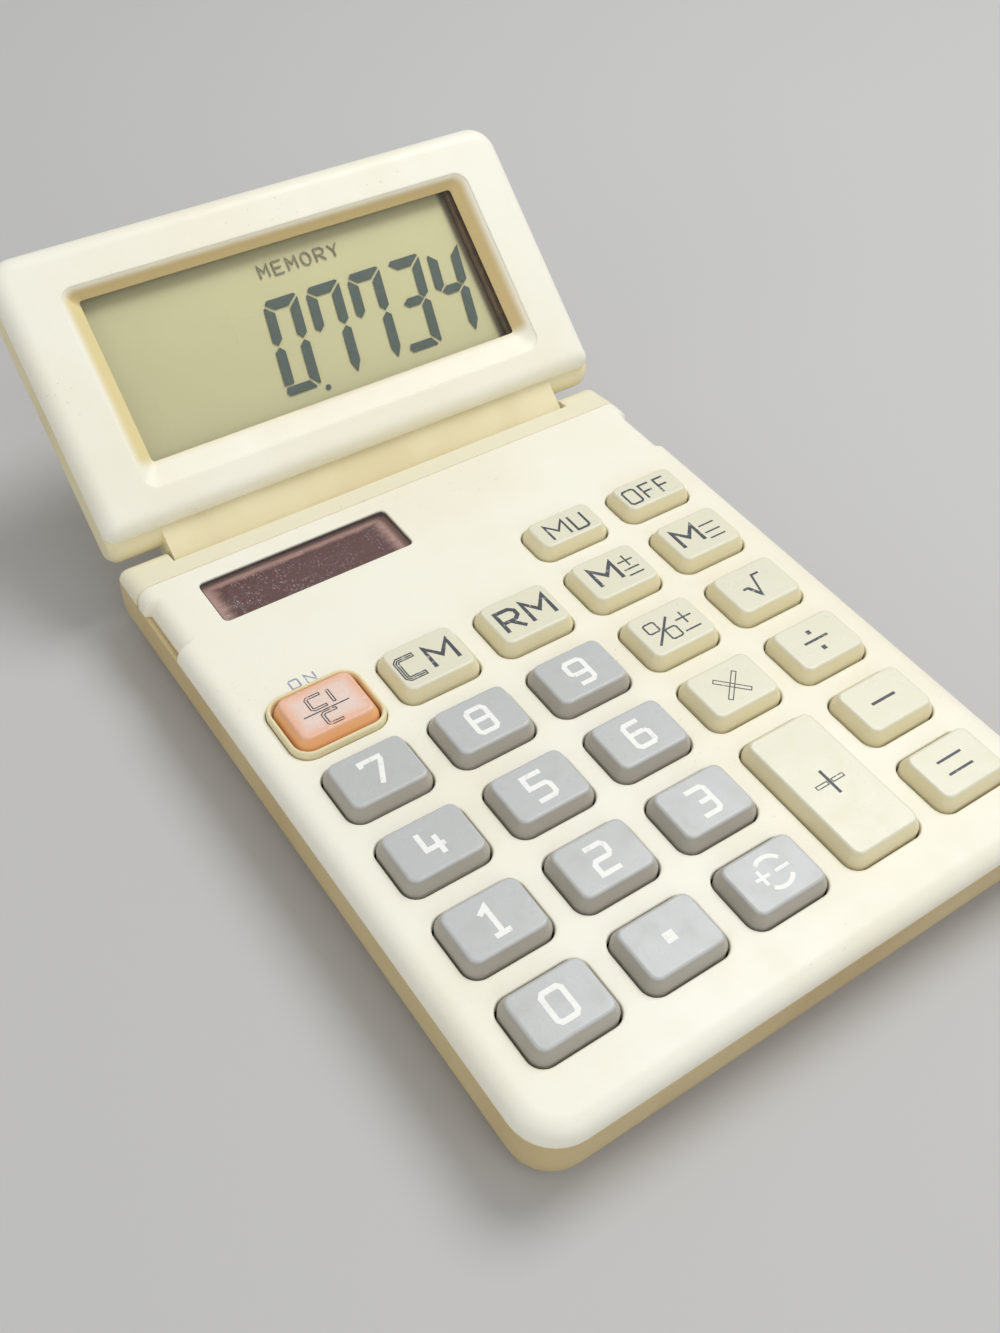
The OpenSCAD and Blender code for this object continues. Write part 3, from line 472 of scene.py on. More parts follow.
def recess_painted_light_and_shade(f, colour):
    """Painted light and shade on the sides of the display's recess, apart from the lower one: a paler lit left
    side and tan shaded upper and right sides.
    """
    back, up = f.y - HINGE.y, f.z - HINGE.z
    u, w = back * math.cos(TILT) + up * math.sin(TILT), up * math.cos(TILT) - back * math.sin(TILT)
    half, low, high = (v * MM for v in RIM_BOX[:3])
    inside = (half - abs(f.x)).least(u - low).least(high - u).between(-0.0004, 0.0006)
    deep = 1 - w.between((FACE_W - 1.1) * MM, (FACE_W - 0.05) * MM)
    # Painted shade on the upper and right sides of the recess, painted light on its left side.
    shaded_side = (f.x + half - (high - u)).between(-0.0005, 0.0005)
    tone = f.mix(shaded_side, colours().recess, colours().recess_painted_shade)
    return f.mix(inside * deep * u.between(*RECESS_PAINT_FADE), colour, tone)


def key_plastic(name, top, side, wear, worn, patch=None):
    """Plastic of a key: sides warmer and darker partly as painted shade and darker still towards their foot as
    painted shade, a painted highlight along the top's edge and a worn top, most of all in a node's middle.
    """
    f = Finish(name)
    mottle, grain, slow = f.noise(300, 3), f.noise(GRAIN, 2), f.noise(70, 2)
    # The side tone rises into the top tone, partly as painted light and shade.
    crown = f.z.between(*KEY_CROWN)
    shoulder = f.z.between(*KEY_HIGHLIGHT) * (1 - f.z.between(*KEY_CREST))
    # Painted shade: the sides darken towards their foot.
    foot = f.mix(f.z.between(*KEY_FOOT) * 0.5 + 0.5, dim(side, 0.9), side)
    colour = f.mix(crown * 0.95 + (slow - 0.5) * 0.25, foot, top)
    # Painted highlight: a paler band along the rounded edge of the top.
    colour = f.mix(shoulder * 0.3, colour, [0.25 + 0.75 * c for c in top])
    colour = f.mix((mottle - 0.5).between(0.02, 0.2) * 0.18, colour, side)
    flecks = f.noise(1300, 3, 0.7).between(0.56, 0.68) * f.noise(160, 2).between(0.42, 0.62) * crown
    if patch:
        low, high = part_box(patch)
        middle, half = (low + high) / 2, (high - low) / 2
        inset = (half.x - abs(f.x - middle.x)).least(half.y - abs(f.y - middle.y))
        rubbed = (inset + (slow - 0.5) * 0.003).between(0.0020, 0.0046) * crown
        colour = f.mix(rubbed * (0.35 + f.noise(1900, 3, 0.7) * 0.9), colour, worn)
    colour = f.mix(flecks * wear, colour, worn)
    return f.done(f.surface(
        Base_Color=colour, Roughness=0.36 - crown * 0.06 + (mottle - 0.5) * 0.22 + flecks * 0.15,
        Normal=f.bump(grain * 0.5 + mottle * 0.9, 0.00003), Specular_IOR_Level=0.5))


def ink(name, colour, under, gaps):
    """Printed ink, worn through in small gaps."""
    f = Finish(name)
    worn = f.noise(1100, 3, 0.65).between(0.58, 0.66) * gaps
    tone = f.noise(350, 2)
    shade = f.mix(tone * 0.2, colour, dim(colour, 0.85))
    return f.done(f.surface(Base_Color=f.mix(worn, shade, under), Roughness=0.4 + tone * 0.15))


def clear(name, haze, dark_painted_edges=False):
    """Clear pane: see-through, with the gloss of its face, fine scratches and, where asked for, dark edges that
    are painted shade of the gap round the pane.
    """
    f = Finish(name)
    scratches = f.noise(900, 4, 0.7, (1, 0.06, 0.06)).between(0.62, 0.72)
    scratches = scratches.most(f.noise(900, 4, 0.7, (0.05, 1, 1)).between(0.63, 0.73))
    gloss = f.surface(Base_Color=(0.8, 0.8, 0.78, 1), Roughness=0.12 + scratches * 0.3,
                      Specular_IOR_Level=0.5)
    view = f.node("ShaderNodeBsdfTransparent", None, {"Color": (0.99, 0.99, 0.985, 1)})
    face = f.add("ShaderNodeNewGeometry")
    front = 1 - Value(f, face.outputs["Backfacing"])
    amount = (f.node("ShaderNodeFresnel", None, {"IOR": 1.45}) * 0.7 + scratches * haze) * front
    pane = f.blend(amount, view, gloss)
    if dark_painted_edges:
        # Painted shade: the pane's upright edges are dark where the gap round it lies in shadow.
        lean = f.add("ShaderNodeSeparateXYZ", None, {"Vector": Value(f, face.outputs["True Normal"])})
        upright = 1 - abs(Value(f, lean.outputs["Z"])).between(0.3, 0.6)
        edge = f.mix(f.noise(500), (0.17, 0.15, 0.14), (0.26, 0.23, 0.22))
        rim = f.surface(Base_Color=edge, Roughness=0.5)
        pane = f.blend(upright * 0.92, pane, rim)
    return f.done(pane)


def solar_plate():
    """Dark cell with a soft paler border and pale flecks."""
    c = colours()
    low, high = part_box("solar_cell")
    middle, half = (low + high) / 2, (high - low) / 2
    f = Finish("solar_film")
    lap = SOLAR_LAP * MM
    across, along = half.x - lap - abs(f.x - middle.x), half.y - lap - abs(f.y - middle.y)
    ragged = across.least(along * 2.2) + (f.noise(700, 4, 0.65, (0.6, 1.4, 1)) - 0.5) * 0.0028
    field = ragged.between(0.0008, 0.0034)
    grain = f.noise(1400, 4, 0.7)
    plate = f.mix(grain.between(0.3, 0.7) * 0.6, c.cell, dim(c.cell, 0.72))
    colour = f.mix(field, c.cell_border, plate)
    flecks = f.noise(3500, 4, 0.75, (1, 0.5, 1)).between(0.55, 0.66) * f.noise(420, 3).between(0.36, 0.62)
    flecks = flecks * (1 - (f.x - middle.x).between(-0.004, 0.006) * 0.45)
    colour = f.mix(flecks * 0.8, colour, (0.84, 0.80, 0.79))
    return f.done(f.surface(Base_Color=colour, Roughness=0.35 + grain * 0.2, Normal=f.bump(grain, 0.00002)))


def film_finish():
    """Silvery yellow film behind the segments, with painted shade dulling it towards its lower left and a painted
    brown shadow of the recess's right side at its right end.
    """
    c = colours()
    f = Finish("lcd_film")
    # Painted shade: the film is duller towards its lower left.
    painted_light_fade = ((f.z * 22 + f.x * 5 - 0.62) + (f.noise(40, 2) - 0.5) * 0.5).between(-0.4, 0.6)
    grain = f.noise(2600, 2)
    colour = f.mix(painted_light_fade, dim(c.film, 0.93), c.film)
    colour = f.mix(grain * 0.12, colour, dim(c.film, 0.8))
    # Painted shadow of the recess's right side on the film's right end.
    colour = f.mix(f.x.between(*FILM_SHADOW_EDGE), colour, c.film_painted_shadow)
    return f.done(f.surface(Base_Color=colour, Roughness=0.5 + grain * 0.15, Metallic=0.08,
                            Normal=f.bump(grain, 0.00001)))


def metal(name):
    """Plated steel with fine brushing."""
    f = Finish(name)
    brushed = f.noise(1800, 3, 0.6, (0.08, 1, 1))
    stain = f.noise(260, 3)
    colour = f.mix(stain.between(0.4, 0.75) * 0.5, (0.80, 0.80, 0.79), (0.62, 0.60, 0.56))
    return f.done(f.surface(Base_Color=colour, Metallic=1.0, Roughness=0.26 + brushed * 0.18 + stain * 0.1,
                            Normal=f.bump(brushed, 0.000008)))


def inner(name, colour, second, scale, roughness, stretch=None):
    """Finish of a part inside: two tones in a pattern of its own scale and a fine grain."""
    f = Finish(name)
    pattern, grain = f.noise(scale, 3, 0.6, stretch), f.noise(4000, 2)
    tone = f.mix(pattern.between(0.42, 0.58), colour, second)
    return f.done(f.surface(Base_Color=tone, Roughness=roughness + (grain - 0.5) * 0.15,
                            Normal=f.bump(grain + pattern, 0.00002)))


INNER = {
    "wire_insulation": ((0.72, 0.12, 0.10), (0.62, 0.08, 0.07), 900, 0.4),
    "mat_rubber": ((0.30, 0.30, 0.31), (0.24, 0.24, 0.25), 400, 0.7),
    "board_green": ((0.12, 0.36, 0.22), (0.20, 0.46, 0.28), 420, 0.35, (1, 0.12, 1)),
    "chip_black": ((0.07, 0.07, 0.07), (0.11, 0.11, 0.11), 700, 0.55),
    "capacitor_sleeve": ((0.12, 0.20, 0.48), (0.16, 0.25, 0.55), 300, 0.35),
    "socket_ivory": ((0.86, 0.83, 0.73), (0.80, 0.76, 0.64), 300, 0.45),
    "ribbon_film": ((0.78, 0.52, 0.20), (0.66, 0.40, 0.14), 900, 0.3, (1, 0.02, 0.02)),
    "foot_rubber": ((0.13, 0.13, 0.13), (0.19, 0.18, 0.17), 500, 0.75),
    "lcd_back": ((0.77, 0.77, 0.57), (0.72, 0.72, 0.52), 300, 0.4),
    "frame_dark": ((0.55, 0.46, 0.36), (0.48, 0.40, 0.31), 260, 0.5),
    "connector_rubber": ((0.80, 0.55, 0.55), (0.25, 0.2, 0.2), 1600, 0.6, (1, 0.02, 0.02)),
}
STOCK = {}


def finishes():
    """Every finish by its slot, made once."""
    if not STOCK:
        c = colours()
        STOCK.update(
            cover_cream=plastic("cover_cream", c.cover, c.cover_aged),
            # The bezel's recess carries painted light and shade.
            bezel=plastic("bezel_cream_painted_recess", c.cover, c.cover_aged, tint_and_painted_light=recess_painted_light_and_shade),
            case_beige=plastic("case_beige", c.case, c.case_aged, 0.45, 0.3, 40),
            # The case's sides carry painted shade.
            case=plastic("case_body_shaded", c.case_body_shaded, c.case_body_aged_shaded, 0.45, 0.35, 40, strip_tint),
            key_cream=key_plastic("key_cream", c.key_cream, c.key_cream_side_and_shade, 0.3, (0.94, 0.93, 0.88)),
            key_grey=key_plastic("key_grey", c.key_grey, c.key_grey_side_and_shade, 0.25, (0.85, 0.86, 0.87)),
            key_orange=key_plastic("key_orange", c.key_orange, c.key_orange_side_and_shade, 0.7, (0.93, 0.87, 0.84),
                                   "key_clear"),
            clear_plastic=clear("clear_plastic", 0.05),
            # The solar pane's edges carry painted shade.
            solar_pane=clear("solar_pane", 0.10, True),
            lcd_glass=film_finish(),
            solar_film=solar_plate(),
            steel=metal("steel"),
            **{name: inner(name, *values) for name, values in INNER.items()})
    return STOCK


def key_spot(node):
    """Middle of a key, in millimetres of the body, and its depth."""
    low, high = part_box(node)
    s = sizes()
    others = {"key_plus": s.tall_depth, "key_off": s.short_depth, "key_markup": s.short_depth}
    depth = others.get(node, s.key_depth)
    return (low.x + high.x) / 2 / MM, ((low.y + high.y) / 2 - FRONT) / MM, mm(depth)


def opening(shape, outline, top, bottom):
    """Rounded rim and wall of an opening; the outline is a function of how far it is grown."""
    rim = mm(sizes().rim_round)
    loops = [shape.loop(level(outline(rim + SUPPORT), top))]
    for flat, drop in quarter(RIM_STEPS):
        loops.append(shape.loop(level(outline(rim * (1 - drop)), top - rim * flat)))
    loops.append(shape.loop(level(outline(0), bottom)))
    shape.skin(*loops)
    return loops[0], loops[-1]


def plate(x, y, width, depth, radius):
    """Outline of a rounded plate as a function of how far it is grown."""
    return lambda grown: moved(
        ring(width / 2 + grown, -depth / 2 - grown, depth / 2 + grown, radius + grown, radius + grown), x, y)


UNDERSIDE = 12.6
SIDE_WALL = 1.8
HOLLOW_END = 110
RING_CLEAR = 0.1
RING_W = 0.75
RING_R = 3.2
RING_STRAIGHT = 0.35
RING_STEPS = 8
SOLAR_R = 1
SOLAR_LAP = 1.2
SOLAR_SEAT = 13.7
SEAT_CLEAR = 0.1
COVER_CORNER = 1.0
SCOOP = {97.05: 0, 97.2: 0.3, 97.4: 0.8, 97.6: 1.0, 108.2: 1.0, 108.45: 0.8, 108.7: 0.3, 108.9: 0}


class CALCULATOR_OT_cover(bpy.types.Operator):
    """Make the cream cover with its openings and finger scoops"""

    bl_idname = "calculator.cover"
    bl_label = "Cover"

    def execute(self, context):
        s = sizes()
        seam, edge, chamfer = mm(s.seam_height), mm(s.cover_edge), mm(s.seam_chamfer)
        shape = Shape(on_body)

        def contour(inset, z, rear, dent=1):
            front_r, rear_r = (max(r - inset, LEAST_R) for r in (mm(s.front_corner), COVER_CORNER))
            points = ring(HALF - inset, inset, rear, front_r, rear_r, tuple(SCOOP))
            return shape.loop([(x - math.copysign(dent * SCOOP.get(y, 0), x), y, z) for x, y in points])

        outer = [contour(chamfer, seam, CREASE), contour(0, seam + chamfer, CREASE)]
        for inset, rise in quarter(EDGE_STEPS):
            z = TOP - edge * (1 - rise)
            outer.append(contour(edge * inset, z, CREASE - max(0, z - TOP + chamfer)))
        outer.append(contour(edge + SUPPORT, TOP, CREASE - chamfer - SUPPORT))
        hollow = [contour(SIDE_WALL, z, HOLLOW_END, 0) for z in (seam, UNDERSIDE)]
        shape.skin(*outer)
        shape.skin(outer[0], *hollow)
        tops, undersides = [outer[-1]], [hollow[1]]
        for node in KEYS:
            x, y, depth = key_spot(node)
            extra = RING_W + RING_CLEAR if node == "key_clear" else 0
            grown = mm(s.key_clearance) + extra
            radius = RING_R + RING_CLEAR if extra else mm(s.key_corner + s.key_clearance)
            outline = plate(x, y, mm(s.key_width) + 2 * grown, depth + 2 * grown, radius)
            for found, rim in zip((tops, undersides), opening(shape, outline, TOP, UNDERSIDE)):
                found.append(rim)
        low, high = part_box("solar_window")
        x, y = (low.x + high.x) / 2 / MM, ((low.y + high.y) / 2 - FRONT) / MM
        width, depth = (high.x - low.x) / MM, (high.y - low.y) / MM
        hole = plate(x, y, width - 2 * SOLAR_LAP, depth - 2 * SOLAR_LAP, SOLAR_R)
        rim, ledge = opening(shape, hole, TOP, SOLAR_SEAT)
        seat = plate(x, y, width, depth, LEAST_R)(SEAT_CLEAR)
        wall = [shape.loop(level(seat, z)) for z in (SOLAR_SEAT, UNDERSIDE)]
        shape.skin(ledge, *wall)
        tops.append(rim)
        undersides.append(wall[-1])
        shape.fill(*tops)
        shape.fill(*undersides)
        cover = shape.made("cover", finishes()["cover_cream"])
        fit(cover, "base", "cover_cream", "top_cover", sharp=14)
        return {"FINISHED"}


CASE_LOW = 1.0
CASE_FLOOR = 2.6
TUCK_TOP = 7.2
TUCK_IN = 3.0
CASE_WALL = 1.6
EAR_X = 40.2
ROOM_Y = 112.05
ROOM_R = 4.15
STRIP_REAR = 115.8
SLOPE = 1.3 / 8.2
CASE_SCREWS = [(39, 5.4), (43.6, 101.8)]
FEET = [(36, 18), (36, 105)]
SCREW_PIT = (2.0, 2.8)
FOOT_PIT = (4.1, 1.6)
BOSS_R, BOSS_TOP = 2.9, 5.0
BOSS_SIDES = 32
TUCK_STEPS = 12
ROOM_STEPS = 10


class CALCULATOR_OT_case(bpy.types.Operator):
    """Make the beige case with its sloped rear strip, ears and hinge room"""

    bl_idname = "calculator.case"
    bl_label = "Case"

    def execute(self, context):
        s = sizes()
        seam, edge, chamfer = mm(s.seam_height), mm(s.cover_edge), mm(s.seam_chamfer)
        shape = Shape(on_body)
        n = CORNER_STEPS + 1
        right, ear_right, ear_left, left = 2 * n, 3 * n + 1, 3 * n + 2, 4 * n + 3

        def outline(inset):
            front_r, rear_r = (max(mm(r) - inset, LEAST_R) for r in (s.front_corner, s.rear_corner))
            return ring(HALF - inset, inset, REAR - inset, front_r, rear_r, (CREASE,), (EAR_X, -EAR_X))

        def contour(inset, z):
            return shape.loop(level(outline(inset), z))

        tuck = TUCK_TOP - CASE_LOW
        floor_turn = math.asin((TUCK_TOP - CASE_FLOOR) / tuck)
        turns = sorted({floor_turn} | {math.pi / 2 * i / TUCK_STEPS for i in range(1, TUCK_STEPS + 1)})
        body = [contour(TUCK_IN * (1 - math.cos(a)), TUCK_TOP - tuck * math.sin(a)) for a in reversed(turns)]
        floor_at = len(body) - 1 - turns.index(floor_turn)
        body += [contour(0, TUCK_TOP), contour(0, seam - chamfer)]
        shape.skin(*body[:floor_at + 1])
        shape.skin(*body[floor_at:], skip={ear_right})

        # the outline's steps from the left side's crease round the front to the right side's
        front = [left, *range(right + 1)]
        points = level(outline(chamfer), seam)
        rim = shape.loop([points[i] for i in front])
        shape.skin([body[-1][i] for i in front], rim, closed=False)

        def sloped(x, y, rise):
            """A point of the strip's rounded edge, which flattens where the slope comes near the seam."""
            top = TOP - SLOPE * (y - CREASE)
            return x, y, top - min(edge, top - seam) * (1 - rise)

        run = range(right, left + 1)
        block = [[body[-1][i] for i in run]]
        for inset, rise in quarter(EDGE_STEPS):
            points = outline(edge * inset)
            block.append(shape.loop([sloped(*points[i], rise) for i in run]))
        shape.skin(*block, closed=False, skip={ear_right - right})

        wall = [(ROOM_Y, CASE_FLOOR)]
        hinge_y, hinge_z = (HINGE.y - FRONT) / MM, HINGE.z / MM
        lip = math.acos((STRIP_REAR - hinge_y) / ROOM_R)
        for i in range(ROOM_STEPS + 1):
            a = math.pi + (lip - math.pi) * i / ROOM_STEPS
            wall.append((hinge_y + ROOM_R * math.cos(a), hinge_z + ROOM_R * math.sin(a)))
        wall.append((STRIP_REAR, TOP - SLOPE * (STRIP_REAR - CREASE)))
        room = [shape.loop([(x, y, z) for y, z in wall]) for x in (EAR_X, -EAR_X)]
        shape.skin(*room, closed=False)
        floor = body[floor_at]
        shape.fill([floor[ear_right], floor[ear_left], room[1][0], room[0][0]])
        for ear, side in ((ear_right, room[0]), (ear_left, room[1])):
            outside = [loop[ear] for loop in body[floor_at:]] + [loop[ear - right] for loop in block[1:]]
            shape.fill(outside + side[::-1])
        top = block[-1]
        split = ear_right - right + 1
        shape.fill(top[:split] + [room[0][-1], room[1][-1]] + top[split:])
        shape.fill([rim[-1]] + [loop[0] for loop in block] + [loop[-1] for loop in reversed(block)] + [rim[0]])

        inside = ring(HALF - CASE_WALL, CASE_WALL, ROOM_Y - CASE_WALL, mm(s.front_corner) - CASE_WALL, LEAST_R)
        hollow = [shape.loop(level(inside, z)) for z in (seam, CASE_FLOOR)]
        shape.skin(*hollow)
        shape.fill(rim, hollow[0])
        under, floors = [body[0]], [hollow[1]]
        for side in (-1, 1):
            for x, y in CASE_SCREWS:
                radius, depth = SCREW_PIT
                under.append(shape.well(circle(side * x, y, radius), CASE_LOW, depth))
                floors.append(shape.well(circle(side * x, y, BOSS_R, BOSS_SIDES), CASE_FLOOR, BOSS_TOP))
            for x, y in FEET:
                radius, depth = FOOT_PIT
                under.append(shape.well(circle(side * x, y, radius), CASE_LOW, depth))
        shape.fill(*under)
        shape.fill(*floors)
        case = shape.made("case", finishes()["case"])
        fit(case, "base", "case_beige", "bottom_case", sharp=28)
        return {"FINISHED"}


class CALCULATOR_OT_key_ring(bpy.types.Operator):
    """Make the raised ring round the clear key"""

    bl_idname = "calculator.key_ring"
    bl_label = "Key ring"

    def execute(self, context):
        s = sizes()
        x, y, depth = key_spot("key_clear")
        hole = mm(s.key_clearance)
        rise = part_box("clear_key_ring")[1].z / MM - TOP
        bore = plate(x, y, mm(s.key_width) + 2 * hole, depth + 2 * hole, mm(s.key_corner) + hole)
        shape = Shape(on_body)

        def side(grown, z):
            return shape.loop(level(bore(grown), z))

        loops = [side(0, UNDERSIDE)]
        loops += [side(RING_W, z) for z in (UNDERSIDE, TOP - SUPPORT, TOP + rise * RING_STRAIGHT)]
        half = RING_W / 2
        for i in range(RING_STEPS + 1):
            a = math.pi * i / RING_STEPS
            loops.append(side(half + half * math.cos(a), TOP + rise * (0.5 + 0.5 * math.sin(a))))
        loops.append(loops[0])
        shape.skin(*loops)
        fit(shape.made("clear_ring", finishes()["case_beige"]), "base", "case_beige", "clear_key_ring")
        return {"FINISHED"}


CAP_PROFILE = [(0, 0), (0.08, 0.03), (0.48, 0.36), (0.86, 0.70), (0.92, 0.765), (0.965, 0.84), (0.99, 0.92),
               (1, 1), (1, 1.14)]
CAP_CORNER_STEPS = 5
WELD = 1e-6


def cap_tree():
    """Geometry Nodes tree of a cap on each point, drawn in towards its corners' middles as it rises."""
    group = bpy.data.node_groups.new("drafted cap", "GeometryNodeTree")
    sockets = {"Points": "Geometry", "Width": "Float", "Depth": "Float", "Corner": "Float", "Skirt": "Float",
               "Rise": "Float", "Draft": "Float", "Turn": "Vector"}
    for name, kind in sockets.items():
        group.interface.new_socket(name, in_out="INPUT", socket_type="NodeSocket" + kind)
    group.interface.new_socket("Cap", in_out="OUTPUT", socket_type="NodeSocketGeometry")
    tree = Tree(group)

    def vector(operation, *values):
        return tree.node("ShaderNodeVectorMath", {"operation": operation}, dict(enumerate(values)))

    def raised(mesh, height, **chosen):
        """The mesh with its chosen faces pulled up, and a mark on those faces."""
        values = {"Mesh": mesh, "Offset": (0, 0, 1), "Offset Scale": height, "Individual": False, **chosen}
        step = tree.add("GeometryNodeExtrudeMesh", {"mode": "FACES"}, values)
        return Value(tree, step.outputs["Mesh"]), Value(tree, step.outputs["Top"])

    entry = tree.add("NodeGroupInput")
    given = {name: Value(tree, entry.outputs[name]) for name in sockets}
    middle = tree.node("ShaderNodeCombineXYZ", None, {"X": given["Width"] * 0.5 - given["Corner"],
                                                      "Y": given["Depth"] * 0.5 - given["Corner"]})
    outline = tree.node("GeometryNodeCurvePrimitiveQuadrilateral", None,
                        {"Width": given["Width"], "Height": given["Depth"]})
    outline = tree.node("GeometryNodeFilletCurve", {"mode": "POLY"},
                        {"Curve": outline, "Count": CAP_CORNER_STEPS, "Radius": given["Corner"]})
    base = tree.node("GeometryNodeFillCurve", {"mode": "NGONS"}, {"Curve": outline})
    flipped = tree.node("GeometryNodeFlipFaces", None, {"Mesh": base})
    cap, top = raised(base, given["Skirt"])
    for (below, was), (height, inset) in zip(CAP_PROFILE, CAP_PROFILE[1:]):
        cap, top = raised(cap, given["Rise"] * (height - below), Selection=top)
        share = (given["Corner"] - given["Draft"] * inset) / (given["Corner"] - given["Draft"] * was)
        scale = tree.node("ShaderNodeCombineXYZ", None, {"X": share, "Y": share, "Z": 1.0})
        old = tree.node("GeometryNodeInputPosition")
        place = vector("MULTIPLY_ADD", vector("SUBTRACT", vector("ABSOLUTE", old), middle), scale, middle)
        place = vector("MULTIPLY", vector("SIGN", old), place)
        cap = tree.node("GeometryNodeSetPosition", None, {"Geometry": cap, "Selection": top, "Position": place})
    joined = tree.add("GeometryNodeJoinGeometry")
    for part in (cap, flipped):
        group.links.new(part.socket, joined.inputs[0])
    whole = tree.node("GeometryNodeMergeByDistance", None,
                      {"Geometry": Value(tree, joined.outputs[0]), "Distance": WELD})
    set_out = tree.node("GeometryNodeInstanceOnPoints", None,
                        {"Points": given["Points"], "Instance": whole, "Rotation": given["Turn"]})
    solid = tree.node("GeometryNodeRealizeInstances", None, {"Geometry": set_out})
    tree.add("NodeGroupOutput", None, {"Cap": solid})
    return group


def caps(name, points, **values):
    """An object with a cap on each point, as plain mesh."""
    data = bpy.data.meshes.new(name)
    data.from_pydata([on_body(*point) for point in points], [], [])
    piece = linked(name, data)
    group = bpy.data.node_groups.get("drafted cap") or cap_tree()
    step = piece.modifiers.new("cap", "NODES")
    step.node_group = group
    for item in group.interface.items_tree:
        if item.name in values:
            step[item.identifier] = values[item.name]
    settle(piece)
    return piece


LAYER = 0.002
MITRE_LIMIT = 2.2
PRINT_SINK = 0.02
THIN = 0.3
DIGIT_SHIFT = (-0.2, -0.1)
C, D = 0.15, 0.11
BOX = [(C, 0), (1 - C, 0), (1, D), (1, 1 - D), (1 - C, 1), (C, 1), (0, 1 - D), (0, D), (C, 0)]
GLYPHS = {
    "0": [BOX],
    "1": [[(0.1, 0.80), (0.52, 1), (0.52, 0)], [(0.12, 0), (0.92, 0)]],
    "2": [[(0, 1), (1 - C, 1), (1, 1 - D), (1, 0.5 + D), (1 - C, 0.5), (C, 0.5), (0, 0.5 - D), (0, 0), (1, 0)]],
    "3": [[(0, 1), (1 - C, 1), (1, 1 - D), (1, D), (1 - C, 0), (0, 0)], [(0.3, 0.5), (1, 0.5)]],
    "4": [[(0.05, 1), (0.05, 0.34), (1, 0.34)], [(0.72, 0.72), (0.72, 0)]],
    "5": [[(1, 1), (0, 1), (0, 0.54), (1 - C, 0.54), (1, 0.54 - D), (1, D), (1 - C, 0), (0, 0)]],
    "6": [[(0.92, 1), (C, 1), (0, 1 - D), (0, D), (C, 0), (1 - C, 0), (1, D), (1, 0.56 - D), (1 - C, 0.56)],
          [(1 - C, 0.56), (0, 0.56)]],
    "7": [[(0, 0.82), (0, 1), (1, 1), (1, 0.86), (0.42, 0)]],
    "8": [BOX, [(0, 0.52), (1, 0.52)]],
    "9": [[(0.12, 0), (1 - C, 0), (1, D), (1, 1 - D), (1 - C, 1), (C, 1), (0, 1 - D), (0, 0.44 + D), (C, 0.44)],
          [(C, 0.44), (1, 0.44)]],
    "C": [[(1, 1), (C, 1), (0, 1 - D), (0, D), (C, 0), (1, 0)]],
    "E": [[(1, 1), (0, 1), (0, 0), (1, 0)], [(0, 0.5), (0.85, 0.5)]],
    "F": [[(0, 0), (0, 1), (1, 1)], [(0, 0.5), (0.85, 0.5)]],
    "I": [[(0.5, 0), (0.5, 1)]],
    "M": [[(0, 0), (0, 1), (0.5, 0.42), (1, 1), (1, 0)]],
    "N": [[(0, 0), (0, 1), (1, 0), (1, 1)]],
    "O": [BOX],
    "R": [[(0, 0), (0, 1), (0.75, 1), (1, 0.86), (1, 0.62), (0.75, 0.46)], [(0.75, 0.46), (0, 0.46)],
          [(0.45, 0.46), (1, 0)]],
    "U": [[(0, 1), (0, 0), (0.8, 0), (1, 0.1), (1, 1)]],
    "Y": [[(0, 1), (0.5, 0.48), (1, 1)], [(0.5, 0.48), (0.5, 0)]],
    "o": [circle(0.5, 0.5, 0.5, 16) + [(1, 0.5)]],
}


def offset(points, distance, closed):
    """Points of a path moved to its left, with mitred corners."""
    count = len(points)
    rows = []
    for i, (x, y) in enumerate(points):
        normals = []
        for a, b in ((i - 1, i), (i, i + 1)):
            if closed or (a >= 0 and b < count):
                (ax, ay), (bx, by) = points[a % count], points[b % count]
                run = math.hypot(bx - ax, by - ay)
                normals.append(((ay - by) / run, (bx - ax) / run))
        nx, ny = (sum(n[k] for n in normals) for k in (0, 1))
        size = math.hypot(nx, ny)
        mitre = min(len(normals) / size, MITRE_LIMIT) if size else 1
        rows.append((x + nx / size * distance * mitre, y + ny / size * distance * mitre))
    return rows


def pen(shape, path, width, low, high):
    """A thin raised band of the given width along a path, a little thicker than the one before it."""
    closed = path[0] == path[-1]
    points = path[:-1] if closed else path
    shape.strokes += 1
    lift = LAYER * shape.strokes
    left, right = (offset(points, half, closed) for half in (width / 2, -width / 2))
    shape.strip(left, right, low - lift, high + lift, closed)


def lined(shape, path, width, line, low, high, inside=False):
    """A stroke drawn as its outline, with a middle line where it is asked for."""
    edge = offset(path, width / 2, False) + offset(path, -width / 2, False)[::-1]
    pen(shape, edge + edge[:1], line, low, high)
    if inside:
        pen(shape, path, line, low, high)


def glyph(letter, x, y, width, height):
    """Paths of a letter whose box has its lower left corner at x, y."""
    return [[(x + px * width, y + py * height) for px, py in path] for path in GLYPHS[letter]]


def words(text, x, y, width, height, gap):
    """Paths of letters side by side round a middle."""
    whole = len(text) * width + (len(text) - 1) * gap
    paths = []
    for i, letter in enumerate(text):
        paths += glyph(letter, x - whole / 2 + i * (width + gap), y - height / 2, width, height)
    return paths


def bar(y, left, right):
    return [(left, y), (right, y)]


def post(x, low, high):
    return [(x, low), (x, high)]


